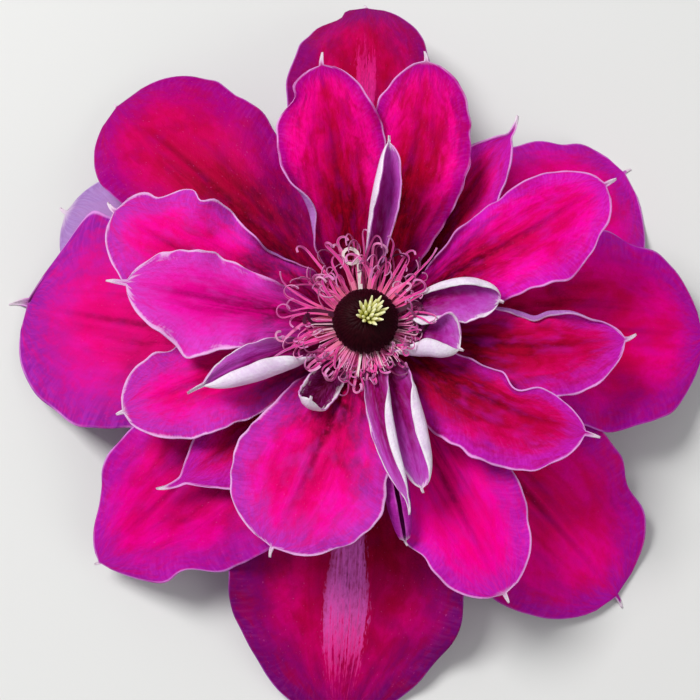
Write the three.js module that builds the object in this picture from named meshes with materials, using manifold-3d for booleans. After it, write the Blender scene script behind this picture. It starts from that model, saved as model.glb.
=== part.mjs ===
// A double clematis flower, face up, picked close beneath its head and laid on a surface.
// Millimetres, +Z up. The origin is under the middle of the flower's box, on that surface.
// Headings are degrees counter-clockwise from +X, seen from above.
import * as THREE from 'three';
import { mergeVertices } from 'three/addons/utils/BufferGeometryUtils.js';
import Module from 'manifold-3d';

const wasm = await Module();
wasm.setup();

// Heights and radii round the flower's axis. The dome, its collar and the styles sit HEAD_DRIFT
// along Y from it, because the head leans a little that way.
const AXIS_HEIGHT = 15;
const FOOT_RADIUS = 5;
const LEVEL_STEP = 1.25;
const STALK_END = 1.2;
const STALK_RADIUS = 1.3;
const COLUMN_RADIUS = 4.4;
const COLUMN_TOP = 30.5;
const COLLAR_RADIUS = 5.3;
const COLLAR_HEIGHT = 1.3;
const DOME_RADIUS = 6.6;
const DOME_HEIGHT = 6.8;
const DOME_BELT = 0.9;
const DOME_ARCH = 0.72;
const HEAD_DRIFT = -1.3;
const WELL_RADIUS = 2.3;
const WELL_DEPTH = 2.2;

// Blades
const BLADE = 0.7;
const SEAT_GAP = 0.32;
const TIP_HALF_WIDTH = 0.5;
const MIDLINE_STEPS = 240;
const SECTION_STEPS = 60;
const REST_DIP = 3;

// Filaments, anthers and styles
const FILAMENTS = 60;
const FILAMENT_RADIUS = 0.42;
const FILAMENT_STEPS = 4;
const UNDER_DOME = 7.2;
const FLATTEST_STEP = 0.31;
const STEEPEST_STEP = 3.6;
const LONGEST_SIDE = 130;
const ANTHERS = 46;
const ANTHER_RADIUS = 0.85;
const STYLES = 15;
const STYLE_RADIUS = 0.34;
const SPIRAL = 137.5;

// The height map that each petal is laid over
const CELL = 0.5;
const MAP_HALF = 100;
const MAP_SIDE = Math.round((2 * MAP_HALF) / CELL);
const SAMPLES = 9;
const RELAX_STEPS = 400;
const DRAPE_PASSES = 4;

const degrees = THREE.MathUtils.degToRad;

// What a petal has unless its own entry says otherwise. pitch is the midline's rise and cup the
// whole turn of its cross-section, each at the foot, the middle and the tip. swerve bends the
// midline sideways. left and right scale the two halves. wave is the height, the number and the
// start of the ruffles. A curl rolls one margin over, and a nick is a notch in one.
const PLAIN = {
  broadest: 0.55, fullness: 0.75, tip: 2, claw: 4, level: 0, swerve: 0, pitch: [10, 0, -15],
  cup: [40, 10, 0], roll: [0, 0], left: 1, right: 1, wave: [1, 2.5, 0], curls: [], nicks: [],
};

// The outer sepals, lowest first
const SEPALS = [
  {
    name: 'sepal_faded', heading: 155, length: 69, width: 40, broadest: 0.6, fullness: 0.55,
    level: -1.1, claw: 3.2, pitch: [2, -10, -22], cup: [30, 0, -10], wave: [0.8, 2, 1],
  },
  {
    name: 'sepal_west', heading: 171, length: 75, width: 45, broadest: 0.66, fullness: 0.44,
    swerve: -28, pitch: [10, -10, -34], cup: [30, -6, -24], tip: 5, wave: [2, 3.5, 1],
    right: 1.02, nicks: [{ side: -1, at: 0.86, reach: 0.09, depth: -0.3 }], rests: true,
  },
  {
    name: 'sepal_south', heading: -94, length: 78, width: 47.5, broadest: 0.58, fullness: 0.6,
    pitch: [10, -12, -28], cup: [40, 10, -10], tip: 3, wave: [1.4, 3, 3], rests: true,
  },
  {
    name: 'sepal_northeast', heading: 35, length: 68, width: 44, broadest: 0.64, fullness: 0.46,
    pitch: [12, -8, -30], cup: [30, 0, -20], wave: [1.6, 3, 5], left: 0.78,
    nicks: [{ side: 1, at: 0.84, reach: 0.05, depth: 0.12 }], rests: true,
  },
  {
    name: 'sepal_southeast', heading: -45, length: 73, width: 41, broadest: 0.66, fullness: 0.46,
    pitch: [8, -10, -28], cup: [30, 0, -16], tip: 3, wave: [1.8, 3.5, 2], right: 0.94,
    nicks: [{ side: 1, at: 0.76, reach: 0.05, depth: 0.12 }], rests: true,
  },
  {
    name: 'sepal_northwest', heading: 135.5, length: 74, width: 38, broadest: 0.7,
    fullness: 0.42, level: 1, pitch: [12, -6, -40], cup: [36, 6, -24], tip: 1.5,
    wave: [1.4, 2.5, 4], left: 0.84, right: 1.02,
    nicks: [{ side: -1, at: 0.72, reach: 0.12, depth: 0.08 }],
  },
  {
    name: 'sepal_southwest', heading: -140, length: 70, width: 38, broadest: 0.54,
    fullness: 0.66, level: 1, pitch: [10, -6, -44], cup: [30, 0, -20], tip: 1.5, wave: [2, 4, 0],
    left: 1.12, right: 0.84, nicks: [{ side: 1, at: 0.77, reach: 0.05, depth: 0.2 }],
  },
  {
    name: 'sepal_east', heading: 1, length: 70, width: 41, broadest: 0.66, fullness: 0.46,
    level: 1, pitch: [10, -8, -32], cup: [30, 0, -20], tip: 2.5, wave: [2, 3.5, 2],
  },
  {
    name: 'sepal_north', heading: 89.5, length: 72.5, width: 33, broadest: 0.62, fullness: 0.48,
    level: 2, pitch: [14, -2, -44], cup: [40, 10, -10], tip: 1.5, wave: [1.4, 3, 1], left: 0.98,
    right: 0.88, nicks: [{ side: 1, at: 0.93, reach: 0.03, depth: 0.3 }],
  },
];

// The petals between the sepals and the middle, lowest first
const PETALS = [
  {
    name: 'petal_northwest_low', heading: 155, length: 54, width: 25, broadest: 0.62,
    fullness: 0.46, level: 3.4, swerve: -22, pitch: [24, 8, -12], cup: [50, 20, 0], tip: 2.5,
    wave: [2, 4, 2], left: 1.05,
    nicks: [
      { side: -1, at: 0.85, reach: 0.035, depth: 0.2 },
      { side: -1, at: 0.68, reach: 0.035, depth: 0.14 },
      { side: -1, at: 0.4, reach: 0.12, depth: 0.25 },
    ],
  },
  {
    name: 'petal_northeast_low', heading: 52, length: 48, width: 18, level: 3.4,
    pitch: [30, 16, 8], cup: [80, 120, 90], tip: 4, wave: [0.8, 2, 0],
  },
  {
    name: 'petal_southwest_low', heading: -140, length: 48, width: 17, fullness: 0.8, level: 3.4,
    swerve: -14, pitch: [20, 4, -10], cup: [50, 20, 0], tip: 5, wave: [1.2, 3, 3], left: 1.35,
  },
  {
    name: 'petal_southeast_low', heading: -63, length: 57, width: 25, broadest: 0.64,
    fullness: 0.48, level: 3.4, swerve: 4, pitch: [20, 4, -16], cup: [50, 20, 0],
    wave: [1.6, 3.5, 1], nicks: [{ side: -1, at: 0.72, reach: 0.05, depth: 0.12 }],
  },
  {
    name: 'petal_north_east', heading: 76.5, length: 52, width: 20, broadest: 0.64,
    fullness: 0.5, level: 4.5, swerve: 20, pitch: [36, 20, 6], cup: [60, 20, 0],
    wave: [1.4, 3, 2], right: 1.1,
  },
  {
    name: 'petal_west_low', heading: 201, length: 48, width: 20, broadest: 0.62, fullness: 0.46,
    level: 4.5, pitch: [26, 8, -10], cup: [50, 20, 0], tip: 1.5, wave: [1.6, 3, 4], left: 1.05,
    nicks: [{ side: -1, at: 0.7, reach: 0.05, depth: 0.2 }],
  },
  {
    name: 'petal_east', heading: -4, length: 50, width: 20, broadest: 0.6, fullness: 0.58,
    level: 4.5, swerve: 30, pitch: [26, 10, -6], cup: [50, 30, 10], tip: 2.5, wave: [1.8, 3, 0],
    left: 0.9, right: 1.15,
    nicks: [
      { side: 1, at: 0.6, reach: 0.05, depth: 0.22 },
      { side: 1, at: 0.82, reach: 0.05, depth: 0.1 },
    ],
    curls: [{ side: 1, at: 0.62, reach: 0.3, turn: 80, from: 0.62 }],
  },
  {
    name: 'petal_south_rolled', heading: -80, length: 40, width: 15, broadest: 0.6,
    fullness: 0.4, level: 4.5, pitch: [20, 4, -8], cup: [120, 260, 300], tip: 1, wave: [0, 2, 3],
  },
  {
    name: 'petal_north', heading: 100, length: 50.5, width: 22, broadest: 0.64, fullness: 0.5,
    level: 5.6, swerve: -6, pitch: [40, 22, 8], cup: [60, 20, 0], tip: 2.5, wave: [1.5, 3, 5],
    curls: [{ side: 1, at: 0.42, reach: 0.12, turn: 180, from: 0.5 }], right: 0.92,
    nicks: [{ side: 1, at: 0.84, reach: 0.035, depth: 0.25 }],
  },
  {
    name: 'petal_northeast', heading: 28.5, length: 53, width: 23, broadest: 0.68, fullness: 0.5,
    level: 5.6, swerve: 8, pitch: [34, 14, 0], cup: [50, 20, 0], tip: 2.5, wave: [1.6, 3, 2],
    left: 0.78, right: 0.98,
    nicks: [
      { side: -1, at: 0.66, reach: 0.05, depth: -0.12 },
      { side: -1, at: 0.82, reach: 0.06, depth: 0.1 },
      { side: 1, at: 0.6, reach: 0.05, depth: 0.1 },
    ],
  },
  {
    name: 'petal_southeast', heading: -28, length: 48, width: 19, broadest: 0.62, fullness: 0.54,
    level: 5.6, swerve: 34, pitch: [30, 12, -6], cup: [50, 20, 0], tip: 3, wave: [1.6, 3, 3],
    left: 0.72, right: 1.25, nicks: [{ side: 1, at: 0.62, reach: 0.06, depth: 0.5 }],
  },
  {
    name: 'petal_south', heading: -112, length: 46.5, width: 29, broadest: 0.68, fullness: 0.46,
    level: 5.6, swerve: -14, pitch: [30, 8, -20], cup: [50, 16, -10], wave: [1.2, 3, 0],
    left: 1.08, nicks: [{ side: 1, at: 0.86, reach: 0.06, depth: 0.1 }],
  },
  {
    name: 'petal_west', heading: 172.5, length: 48, width: 20, broadest: 0.64, fullness: 0.54,
    level: 5.6, swerve: -8, pitch: [34, 16, -2], cup: [50, 20, 0], tip: 4, wave: [1.2, 2.5, 1],
    right: 0.93,
    nicks: [
      { side: -1, at: 0.36, reach: 0.14, depth: 0.25 },
      { side: 1, at: 0.62, reach: 0.08, depth: -0.2 },
    ],
  },
];

// The small folded petals round the middle, lowest first
const INNER_PETALS = [
  {
    name: 'inner_north', heading: 82, length: 34, width: 11, broadest: 0.7, fullness: 0.6,
    level: 7.4, claw: 2, pitch: [44, 36, 20], cup: [40, 230, 200], tip: 1.5, wave: [0.3, 3, 0],
    roll: [0, 30],
  },
  {
    name: 'inner_southeast', heading: -73, length: 33, width: 15, broadest: 0.62, fullness: 0.55,
    level: 7.4, claw: 2, swerve: -18, pitch: [20, 20, -8], cup: [16, 60, 60], tip: 1,
    wave: [0.3, 2, 0], right: 0.6,
    curls: [{ side: 1, at: 0.66, reach: 0.34, turn: 190, from: 0.12 }],
  },
  {
    name: 'inner_west', heading: 204, length: 34, width: 20, broadest: 0.66, fullness: 0.8,
    level: 7.4, claw: 2, pitch: [34, 14, -6], cup: [40, 50, 50], tip: 3.5, wave: [0.5, 2, 0],
    right: 0.38, curls: [{ side: 1, at: 0.66, reach: 0.36, turn: 180, from: 0.05 }],
  },
  {
    name: 'inner_east_high', heading: 6, length: 24.5, width: 12, broadest: 0.7, fullness: 0.6,
    level: 8.5, claw: 2, swerve: -50, pitch: [36, 18, -30], cup: [40, 60, 50], tip: 1,
    wave: [0.5, 2, 0], curls: [{ side: 1, at: 0.6, reach: 0.6, turn: 190, from: 0.15 }],
  },
  {
    name: 'inner_east_low', heading: -22, length: 17, width: 20, broadest: 0.66, fullness: 0.5,
    level: 8.5, claw: 2, pitch: [29, 28, 20], cup: [20, 45, 60], tip: 1, wave: [1, 2.5, 1],
    left: 0.8, right: 0.9,
    curls: [
      { side: -1, at: 0.74, reach: 0.38, turn: 220, from: 0.05 },
      { side: 1, at: 0.5, reach: 0.24, turn: 200, from: 0.2 },
    ],
  },
  {
    name: 'inner_southwest', heading: -121, length: 23, width: 7.6, broadest: 0.6, fullness: 0.5,
    level: 8.5, claw: 2, pitch: [6, 12, 150], cup: [20, 90, 110], tip: 0.8, wave: [0.3, 2, 0],
  },
  {
    name: 'inner_south', heading: -77.5, length: 36, width: 10, fullness: 0.7, level: 8.5,
    claw: 2, swerve: 24, pitch: [20, 14, -4], cup: [16, 50, 50], tip: 3, wave: [0.3, 2, 0],
    right: 0.5, curls: [{ side: 1, at: 0.62, reach: 0.36, turn: 200, from: 0.05 }],
  },
];

// A quadratic through three values, at the foot, the middle and the tip
function along([foot, middle, tip], s) {
  return foot * (1 - s) * (1 - 2 * s) + 4 * middle * s * (1 - s) + tip * s * (2 * s - 1);
}

// A random number from 0 to 1, the same each time the flower is built
function seededRandom(seed) {
  let state = seed;
  return () => {
    state = (state * 1664525 + 1013904223) % 4294967296;
    return state / 4294967296;
  };
}

// Half the blade's width, s being 0 at the foot and 1 at the tip
function halfWidth(petal, s) {
  const bodyEnd = 1 - petal.tip / petal.length;
  const t = Math.min(s / bodyEnd, 1);
  const power = Math.log(0.5) / Math.log(petal.broadest);
  const body = Math.max(0, Math.sin(Math.PI * t ** power)) ** petal.fullness;
  const claw = (petal.claw / petal.width) * (1 - t) ** 2;
  const half = (petal.width / 2) * Math.hypot(body, claw);
  const point = Math.min((1 - s) / (1 - bodyEnd), 1);
  return Math.max(half, TIP_HALF_WIDTH + 0.4 * point);
}

// The midline's points and directions at evenly spaced steps
function midline(petal) {
  const turn = degrees(petal.heading);
  const foot = new THREE.Vector3(
    FOOT_RADIUS * Math.cos(turn),
    FOOT_RADIUS * Math.sin(turn),
    AXIS_HEIGHT + petal.level * LEVEL_STEP,
  );
  const stations = [];
  let before = null;
  for (let i = 0; i <= MIDLINE_STEPS; i += 1) {
    const s = i / MIDLINE_STEPS;
    const pitch = degrees(along(petal.pitch, s));
    const heading = degrees(petal.heading + petal.swerve * (s - 0.5));
    const tangent = new THREE.Vector3(
      Math.cos(pitch) * Math.cos(heading),
      Math.cos(pitch) * Math.sin(heading),
      Math.sin(pitch),
    );
    const point = foot.clone();
    if (before) {
      const half = (0.5 * petal.length) / MIDLINE_STEPS;
      point.copy(before.point).addScaledVector(before.tangent, half).addScaledVector(tangent, half);
    }
    const across = new THREE.Vector3(-Math.sin(heading), Math.cos(heading), 0);
    before = { point, tangent, across };
    stations.push(before);
  }
  return stations;
}

// How far one half of the cross-section reaches sideways and upward, as parts of its width
function section(petal, s, side) {
  const cup = degrees(along(petal.cup, s)) / 2;
  const reach = [0];
  const rise = [0];
  let last = null;
  for (let i = 0; i <= SECTION_STEPS; i += 1) {
    const x = i / SECTION_STEPS;
    let turn = cup * x;
    for (const curl of petal.curls.filter((c) => c.side === side)) {
      const near = Math.exp(-(((s - curl.at) / curl.reach) ** 2));
      turn += degrees(curl.turn) * near * Math.max(0, (x - curl.from) / (1 - curl.from)) ** 1.5;
    }
    if (last !== null) {
      reach.push(reach[i - 1] + (Math.cos(last) + Math.cos(turn)) / 2 / SECTION_STEPS);
      rise.push(rise[i - 1] + (Math.sin(last) + Math.sin(turn)) / 2 / SECTION_STEPS);
    }
    last = turn;
  }
  return { reach, rise };
}

function valueAt(list, x) {
  const place = Math.min(x * SECTION_STEPS, SECTION_STEPS - 1e-9);
  const i = Math.floor(place);
  return list[i] + (list[i + 1] - list[i]) * (place - i);
}

// The height of the ruffle at the margin, nothing at the foot and past the blade's body
function ruffle(petal, s, side) {
  const [height, count, start] = petal.wave;
  const bodyEnd = 1 - petal.tip / petal.length;
  if (s >= bodyEnd) return 0;
  const swell = Math.sin(Math.PI * (s / bodyEnd) ** 0.8) ** 0.6;
  const shift = side > 0 ? 0 : 2.1;
  return height * swell * Math.sin(2 * Math.PI * (count * s + 0.1 * start) + shift);
}

// The blade's middle surface: a grid of points, rows from foot to tip, columns right to left
function middleSurface(petal, rows, columns) {
  const stations = midline(petal);
  return rows.map((s) => {
    const { point, tangent, across } = stations[Math.round(s * MIDLINE_STEPS)];
    const up = new THREE.Vector3().crossVectors(tangent, across);
    const roll = degrees(petal.roll[0] + (petal.roll[1] - petal.roll[0]) * s);
    const sideways = across.clone().multiplyScalar(Math.cos(roll)).addScaledVector(up, Math.sin(roll));
    const normal = new THREE.Vector3().crossVectors(tangent, sideways);
    const half = halfWidth(petal, s);
    const halves = { 1: section(petal, s, 1), '-1': section(petal, s, -1) };
    return columns.map((v) => {
      const side = v > 0 ? 1 : -1;
      const x = Math.abs(v);
      const wide = half * (side > 0 ? petal.left : petal.right);
      let notch = 0;
      for (const nick of petal.nicks.filter((n) => n.side === side)) {
        notch += nick.depth * Math.exp(-(((s - nick.at) / nick.reach) ** 2));
      }
      const out = valueAt(halves[side].reach, x) * wide * side * (1 - notch * x);
      const high = valueAt(halves[side].rise, x) * wide + x ** 2.2 * ruffle(petal, s, side);
      return point.clone().addScaledVector(sideways, out).addScaledVector(normal, high);
    });
  });
}

// The blade's two faces, half its thickness to each side of the middle surface
function bladeFaces(grid) {
  const lastRow = grid.length - 1;
  const lastColumn = grid[0].length - 1;
  const upper = [];
  const lower = [];
  grid.forEach((row, r) => {
    row.forEach((point, c) => {
      const forward = grid[Math.min(r + 1, lastRow)][c].clone();
      forward.sub(grid[Math.max(r - 1, 0)][c]);
      const left = row[Math.min(c + 1, lastColumn)].clone().sub(row[Math.max(c - 1, 0)]);
      const normal = forward.cross(left).normalize();
      upper.push(point.clone().addScaledVector(normal, BLADE / 2));
      lower.push(point.clone().addScaledVector(normal, -BLADE / 2));
    });
  });
  return { upper, lower };
}

// The triangles of a face, as places in its list of points. Both faces use the same ones.
function gridTriangles(rows, columns) {
  const triangles = [];
  for (let r = 0; r < rows - 1; r += 1) {
    for (let c = 0; c < columns - 1; c += 1) {
      const at = r * columns + c;
      triangles.push([at, at + columns, at + columns + 1]);
      triangles.push([at, at + columns + 1, at + 1]);
    }
  }
  return triangles;
}

// The rim of the grid, in the direction in which the upper face's triangles run
function gridRim(rows, columns) {
  const rim = [];
  for (let r = 0; r < rows - 1; r += 1) rim.push(r * columns);
  for (let c = 0; c < columns - 1; c += 1) rim.push((rows - 1) * columns + c);
  for (let r = rows - 1; r > 0; r -= 1) rim.push(r * columns + columns - 1);
  for (let c = columns - 1; c > 0; c -= 1) rim.push(c);
  return rim;
}

const heights = new Float32Array(MAP_SIDE * MAP_SIDE).fill(-1000);

function mapCell(value) {
  return THREE.MathUtils.clamp(Math.floor((value + MAP_HALF) / CELL), 1, MAP_SIDE - 2);
}

// Calls visit(point, triangle) for points spread over every triangle
function overTriangles(points, triangles, visit) {
  const point = new THREE.Vector3();
  for (const triangle of triangles) {
    const [a, b, c] = triangle.map((i) => points[i]);
    for (let i = 0; i <= SAMPLES; i += 1) {
      for (let j = 0; j <= SAMPLES - i; j += 1) {
        const u = i / SAMPLES;
        const w = j / SAMPLES;
        point.copy(a).multiplyScalar(1 - u - w).addScaledVector(b, u).addScaledVector(c, w);
        visit(point, triangle);
      }
    }
  }
}

// The highest thing within a cell of this place
function heightNear(x, y) {
  const i = mapCell(x);
  const j = mapCell(y);
  let top = -1000;
  for (let di = -1; di <= 1; di += 1) {
    for (let dj = -1; dj <= 1; dj += 1) {
      top = Math.max(top, heights[(i + di) * MAP_SIDE + j + dj]);
    }
  }
  return top;
}

function markHeights(points, triangles) {
  overTriangles(points, triangles, (p) => {
    const place = mapCell(p.x) * MAP_SIDE + mapCell(p.y);
    heights[place] = Math.max(heights[place], p.z);
  });
}

// Spreads the lift that some points need over the whole grid, down to nothing at the foot
function relax(need, rows, columns) {
  let lift = need.slice();
  for (let step = 0; step < RELAX_STEPS; step += 1) {
    lift = lift.map((value, at) => {
      const r = Math.floor(at / columns);
      const c = at % columns;
      if (r === 0) return need[at];
      const below = lift[at - columns];
      const above = lift[r < rows - 1 ? at + columns : at];
      const right = lift[c > 0 ? at - 1 : at];
      const left = lift[c < columns - 1 ? at + 1 : at];
      return Math.max(need[at], 0.995 * (below + above + right + left) / 4);
    });
  }
  return lift;
}

// Lays the petal over everything that is already in the map
function drape(grid, triangles) {
  const rows = grid.length;
  const columns = grid[0].length;
  for (let pass = 0; pass < DRAPE_PASSES; pass += 1) {
    const faces = bladeFaces(grid);
    const need = new Array(rows * columns).fill(0);
    for (const points of [faces.upper, faces.lower]) {
      overTriangles(points, triangles, (p, triangle) => {
        const short = heightNear(p.x, p.y) + SEAT_GAP - p.z;
        for (const at of triangle) need[at] = Math.max(need[at], short);
      });
    }
    if (Math.max(...need) <= 0) return;
    relax(need, rows, columns).forEach((lift, at) => {
      grid[Math.floor(at / columns)][at % columns].z += lift;
    });
  }
}

// Lets the sepal's end droop until it dips a little below the surface
function settle(grid, rows) {
  const lowest = Math.min(...grid.flat().map((p) => p.z));
  const droop = lowest - BLADE / 2 + REST_DIP;
  grid.forEach((row, r) => {
    for (const point of row) point.z -= droop * rows[r] ** 2;
  });
}

// A closed blade, flat where it lies on the surface
function bladeGeometry(grid, triangles) {
  const rows = grid.length;
  const columns = grid[0].length;
  const { upper, lower } = bladeFaces(grid);
  for (const point of upper) point.z = Math.max(point.z, BLADE);
  for (const point of lower) point.z = Math.max(point.z, 0);
  const points = [...upper, ...lower];
  const under = upper.length;
  const indices = [];
  for (const [a, b, c] of triangles) {
    indices.push(a, b, c, under + a, under + c, under + b);
  }
  const rim = gridRim(rows, columns);
  rim.forEach((a, i) => {
    const b = rim[(i + 1) % rim.length];
    indices.push(b, a, under + a, b, under + a, under + b);
  });
  markHeights(upper, triangles);
  markHeights(lower, triangles);
  const geometry = new THREE.BufferGeometry().setFromPoints(points);
  geometry.setIndex(indices);
  return geometry;
}

function named(name, geometry, color, roughness) {
  geometry.computeVertexNormals();
  const mesh = new THREE.Mesh(geometry, new THREE.MeshStandardMaterial({ color, roughness }));
  mesh.name = name;
  return mesh;
}

// Rows from foot to tip, the last ones close together on the narrow point
function rowPlaces(count) {
  const rows = [];
  for (let i = 0; i < count; i += 1) rows.push((0.955 * i) / (count - 1));
  rows.push(0.98, 1);
  return rows;
}

function columnPlaces(count) {
  const columns = [];
  for (let i = 0; i < count; i += 1) columns.push((2 * i) / (count - 1) - 1);
  return columns;
}

function petalMesh(entry, rowCount, columnCount, color) {
  const petal = { ...PLAIN, ...entry };
  const rows = rowPlaces(rowCount);
  const grid = middleSurface(petal, rows, columnPlaces(columnCount));
  const triangles = gridTriangles(grid.length, columnCount);
  if (petal.rests) settle(grid, rows);
  drape(grid, triangles);
  return named(petal.name, bladeGeometry(grid, triangles), color, 0.6);
}

function toManifold(geometry) {
  const bare = geometry.clone();
  for (const attribute of Object.keys(bare.attributes)) {
    if (attribute !== 'position') bare.deleteAttribute(attribute);
  }
  const merged = mergeVertices(bare, 1e-4);
  return new wasm.Manifold(new wasm.Mesh({
    numProp: 3,
    vertProperties: new Float32Array(merged.attributes.position.array),
    triVerts: new Uint32Array(merged.index.array),
  }));
}

// One body of a core and everything that is rooted in it, with any sealed hollow filled
function joined(core, others) {
  let body = toManifold(core);
  for (const other of others) body = body.add(toManifold(other));
  const shells = body.decompose().sort((a, b) => b.volume() - a.volume());
  const mesh = shells[0].getMesh();
  const geometry = new THREE.BufferGeometry();
  geometry.setAttribute('position', new THREE.BufferAttribute(mesh.vertProperties, 3));
  geometry.setIndex(new THREE.BufferAttribute(mesh.triVerts, 1));
  return geometry;
}

// A turned solid round the flower's axis, from radius and height pairs
function turned(profile, sides) {
  const points = profile.map(([radius, height]) => new THREE.Vector2(radius, height));
  return new THREE.LatheGeometry(points, sides).rotateX(Math.PI / 2);
}

// A closed tapering rod through the points, with few sides
function rod(points, radii, sides) {
  const vertices = [];
  const indices = [];
  points.forEach((point, i) => {
    const next = points[Math.min(i + 1, points.length - 1)];
    const tangent = next.clone().sub(points[Math.max(i - 1, 0)]).normalize();
    const helper = Math.abs(tangent.z) > 0.8 ? new THREE.Vector3(1, 0, 0) : new THREE.Vector3(0, 0, 1);
    const across = new THREE.Vector3().crossVectors(helper, tangent).normalize();
    const up = new THREE.Vector3().crossVectors(tangent, across);
    for (let k = 0; k < sides; k += 1) {
      const angle = (2 * Math.PI * k) / sides + Math.PI / 2;
      const corner = point.clone();
      corner.addScaledVector(across, radii[i] * Math.cos(angle));
      corner.addScaledVector(up, radii[i] * Math.sin(angle));
      vertices.push(corner);
    }
  });
  for (let i = 0; i < points.length - 1; i += 1) {
    for (let k = 0; k < sides; k += 1) {
      const a = i * sides + k;
      const b = i * sides + ((k + 1) % sides);
      indices.push(a, b, b + sides, a, b + sides, a + sides);
    }
  }
  const end = (points.length - 1) * sides;
  for (let k = 1; k < sides - 1; k += 1) {
    indices.push(0, k + 1, k);
    indices.push(end, end + k, end + k + 1);
  }
  const geometry = new THREE.BufferGeometry().setFromPoints(vertices);
  geometry.setIndex(indices);
  return geometry;
}

// The short green stalk, which widens into the column that carries every petal
function stalk() {
  return turned([
    [0, STALK_END],
    [STALK_RADIUS, STALK_END],
    [STALK_RADIUS * 1.05, 7],
    [STALK_RADIUS * 1.3, 10.6],
    [STALK_RADIUS * 2.1, 12.1],
    [COLUMN_RADIUS, 13.2],
    [COLUMN_RADIUS, COLUMN_TOP],
    [0, COLUMN_TOP],
  ], 24);
}

// The height at which a strand's next point keeps the whole step clear of what lies below it
function strandHeight(before, point) {
  let height = before.z + 0.3;
  for (const part of [0.25, 0.5, 0.75, 1]) {
    const x = before.x + (point.x - before.x) * part;
    const y = before.y + (point.y - before.y) * part + HEAD_DRIFT;
    const floor = heightNear(x, y) + SEAT_GAP + 1.2 * FILAMENT_RADIUS;
    height = Math.max(height, before.z + (floor - before.z) / part);
  }
  return height;
}

// The strands that lie over the petals round the dome, rooted in a collar on the column
function filaments() {
  const random = seededRandom(7);
  const bottom = COLUMN_TOP + SEAT_GAP;
  const collar = turned([
    [0, bottom],
    [COLLAR_RADIUS - 0.4, bottom],
    [COLLAR_RADIUS, bottom + COLLAR_HEIGHT / 2],
    [COLLAR_RADIUS - 0.4, bottom + COLLAR_HEIGHT],
    [0, bottom + COLLAR_HEIGHT],
  ], 24);
  const strands = [];
  for (let i = 0; i < FILAMENTS; i += 1) {
    const heading = degrees((360 * (i + 0.6 * random())) / FILAMENTS);
    const longer = 1 + 0.25 * Math.cos(heading - degrees(LONGEST_SIDE));
    const reach = (8 + 5 * random()) * longer;
    const drift = 0.5 * (random() - 0.5);
    const hook = random() < 0.5 ? -0.14 : 0.14;
    const points = [];
    for (let k = 0; k <= FILAMENT_STEPS; k += 1) {
      const part = Math.max(0, (k - 1) / (FILAMENT_STEPS - 1));
      const out = k === 0 ? COLLAR_RADIUS - 1.4 : UNDER_DOME + (reach - 2) * part;
      const turn = heading + drift * part ** 2 + (part === 1 ? hook : 0);
      const point = new THREE.Vector3(out * Math.cos(turn), out * Math.sin(turn), 0);
      point.z = bottom + (0.25 + 0.2 * (i % 3)) * COLLAR_HEIGHT;
      if (k > 0) point.z = strandHeight(points[k - 1], point);
      if (k > 0 && point.z - points[k - 1].z > (k === 1 ? FLATTEST_STEP : STEEPEST_STEP)) break;
      points.push(point);
    }
    if (points.length < 3) continue;
    const radii = points.map((p, k) => FILAMENT_RADIUS * (1.15 - 0.06 * k));
    strands.push(rod(points, radii, 3));
  }
  return joined(collar, strands).translate(0, HEAD_DRIFT, 0);
}

const DOME_BASE = COLUMN_TOP + 2 * SEAT_GAP + COLLAR_HEIGHT;

// The dark dome of packed anthers, with a well in its top for the styles
function antherDome() {
  const random = seededRandom(23);
  const profile = [[0, DOME_BASE], [DOME_RADIUS * 0.8, DOME_BASE]];
  for (let i = 0; i <= 5; i += 1) {
    const angle = degrees(-8 + 15 * i);
    const height = DOME_BASE + 1.2 + DOME_HEIGHT * DOME_ARCH * Math.sin(angle);
    profile.push([DOME_RADIUS * DOME_BELT * Math.cos(angle), height]);
  }
  const top = profile[profile.length - 1][1];
  profile.push([WELL_RADIUS, top + 0.1]);
  profile.push([WELL_RADIUS, top - WELL_DEPTH]);
  profile.push([0, top - WELL_DEPTH]);
  const core = turned(profile, 20);
  const anthers = [];
  for (let i = 0; i < ANTHERS; i += 1) {
    const share = (i + 0.5) / ANTHERS;
    const tilt = degrees(6 + 44 * share);
    const anther = new THREE.ConeGeometry(ANTHER_RADIUS, 3.2 + 0.5 * random(), 5);
    anther.rotateX(Math.PI / 2);
    anther.rotateY(degrees(-8 - 38 * share));
    const out = DOME_RADIUS * DOME_BELT * 0.97 * Math.cos(tilt);
    anther.translate(out, 0, DOME_BASE + 1.6 + DOME_HEIGHT * DOME_ARCH * Math.sin(tilt));
    anther.rotateZ(i * degrees(SPIRAL));
    anthers.push(anther);
  }
  const geometry = joined(core, anthers).translate(0, HEAD_DRIFT, 0);
  return { geometry, wellFloor: top - WELL_DEPTH };
}

// The cream tuft of styles, leaning a little to the upper right
function stigmaTuft(wellFloor) {
  const random = seededRandom(5);
  const bottom = wellFloor + SEAT_GAP;
  const radius = WELL_RADIUS - SEAT_GAP;
  const plug = turned([
    [0, bottom],
    [radius, bottom],
    [radius, bottom + 1.6],
    [0, bottom + 2.2],
  ], 12);
  const lean = new THREE.Vector3(1.3, 0.9, 0);
  const styles = [];
  for (let i = 0; i < STYLES; i += 1) {
    const out = (radius - 0.5) * Math.sqrt((i + 0.5) / STYLES);
    const heading = i * degrees(SPIRAL);
    const side = new THREE.Vector3(Math.cos(heading), Math.sin(heading), 0);
    const root = side.clone().multiplyScalar(out).setZ(bottom + 0.8);
    const waist = side.clone().multiplyScalar(out).addScaledVector(lean, 0.2);
    waist.z = bottom + 3.6;
    const end = side.clone().multiplyScalar(out * 1.8).add(lean);
    end.z = bottom + 5.6 + 0.8 * random();
    styles.push(rod([root, waist, end], [STYLE_RADIUS, STYLE_RADIUS, 1.25 * STYLE_RADIUS], 3));
  }
  return joined(plug, styles).translate(0, HEAD_DRIFT, 0);
}

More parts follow.
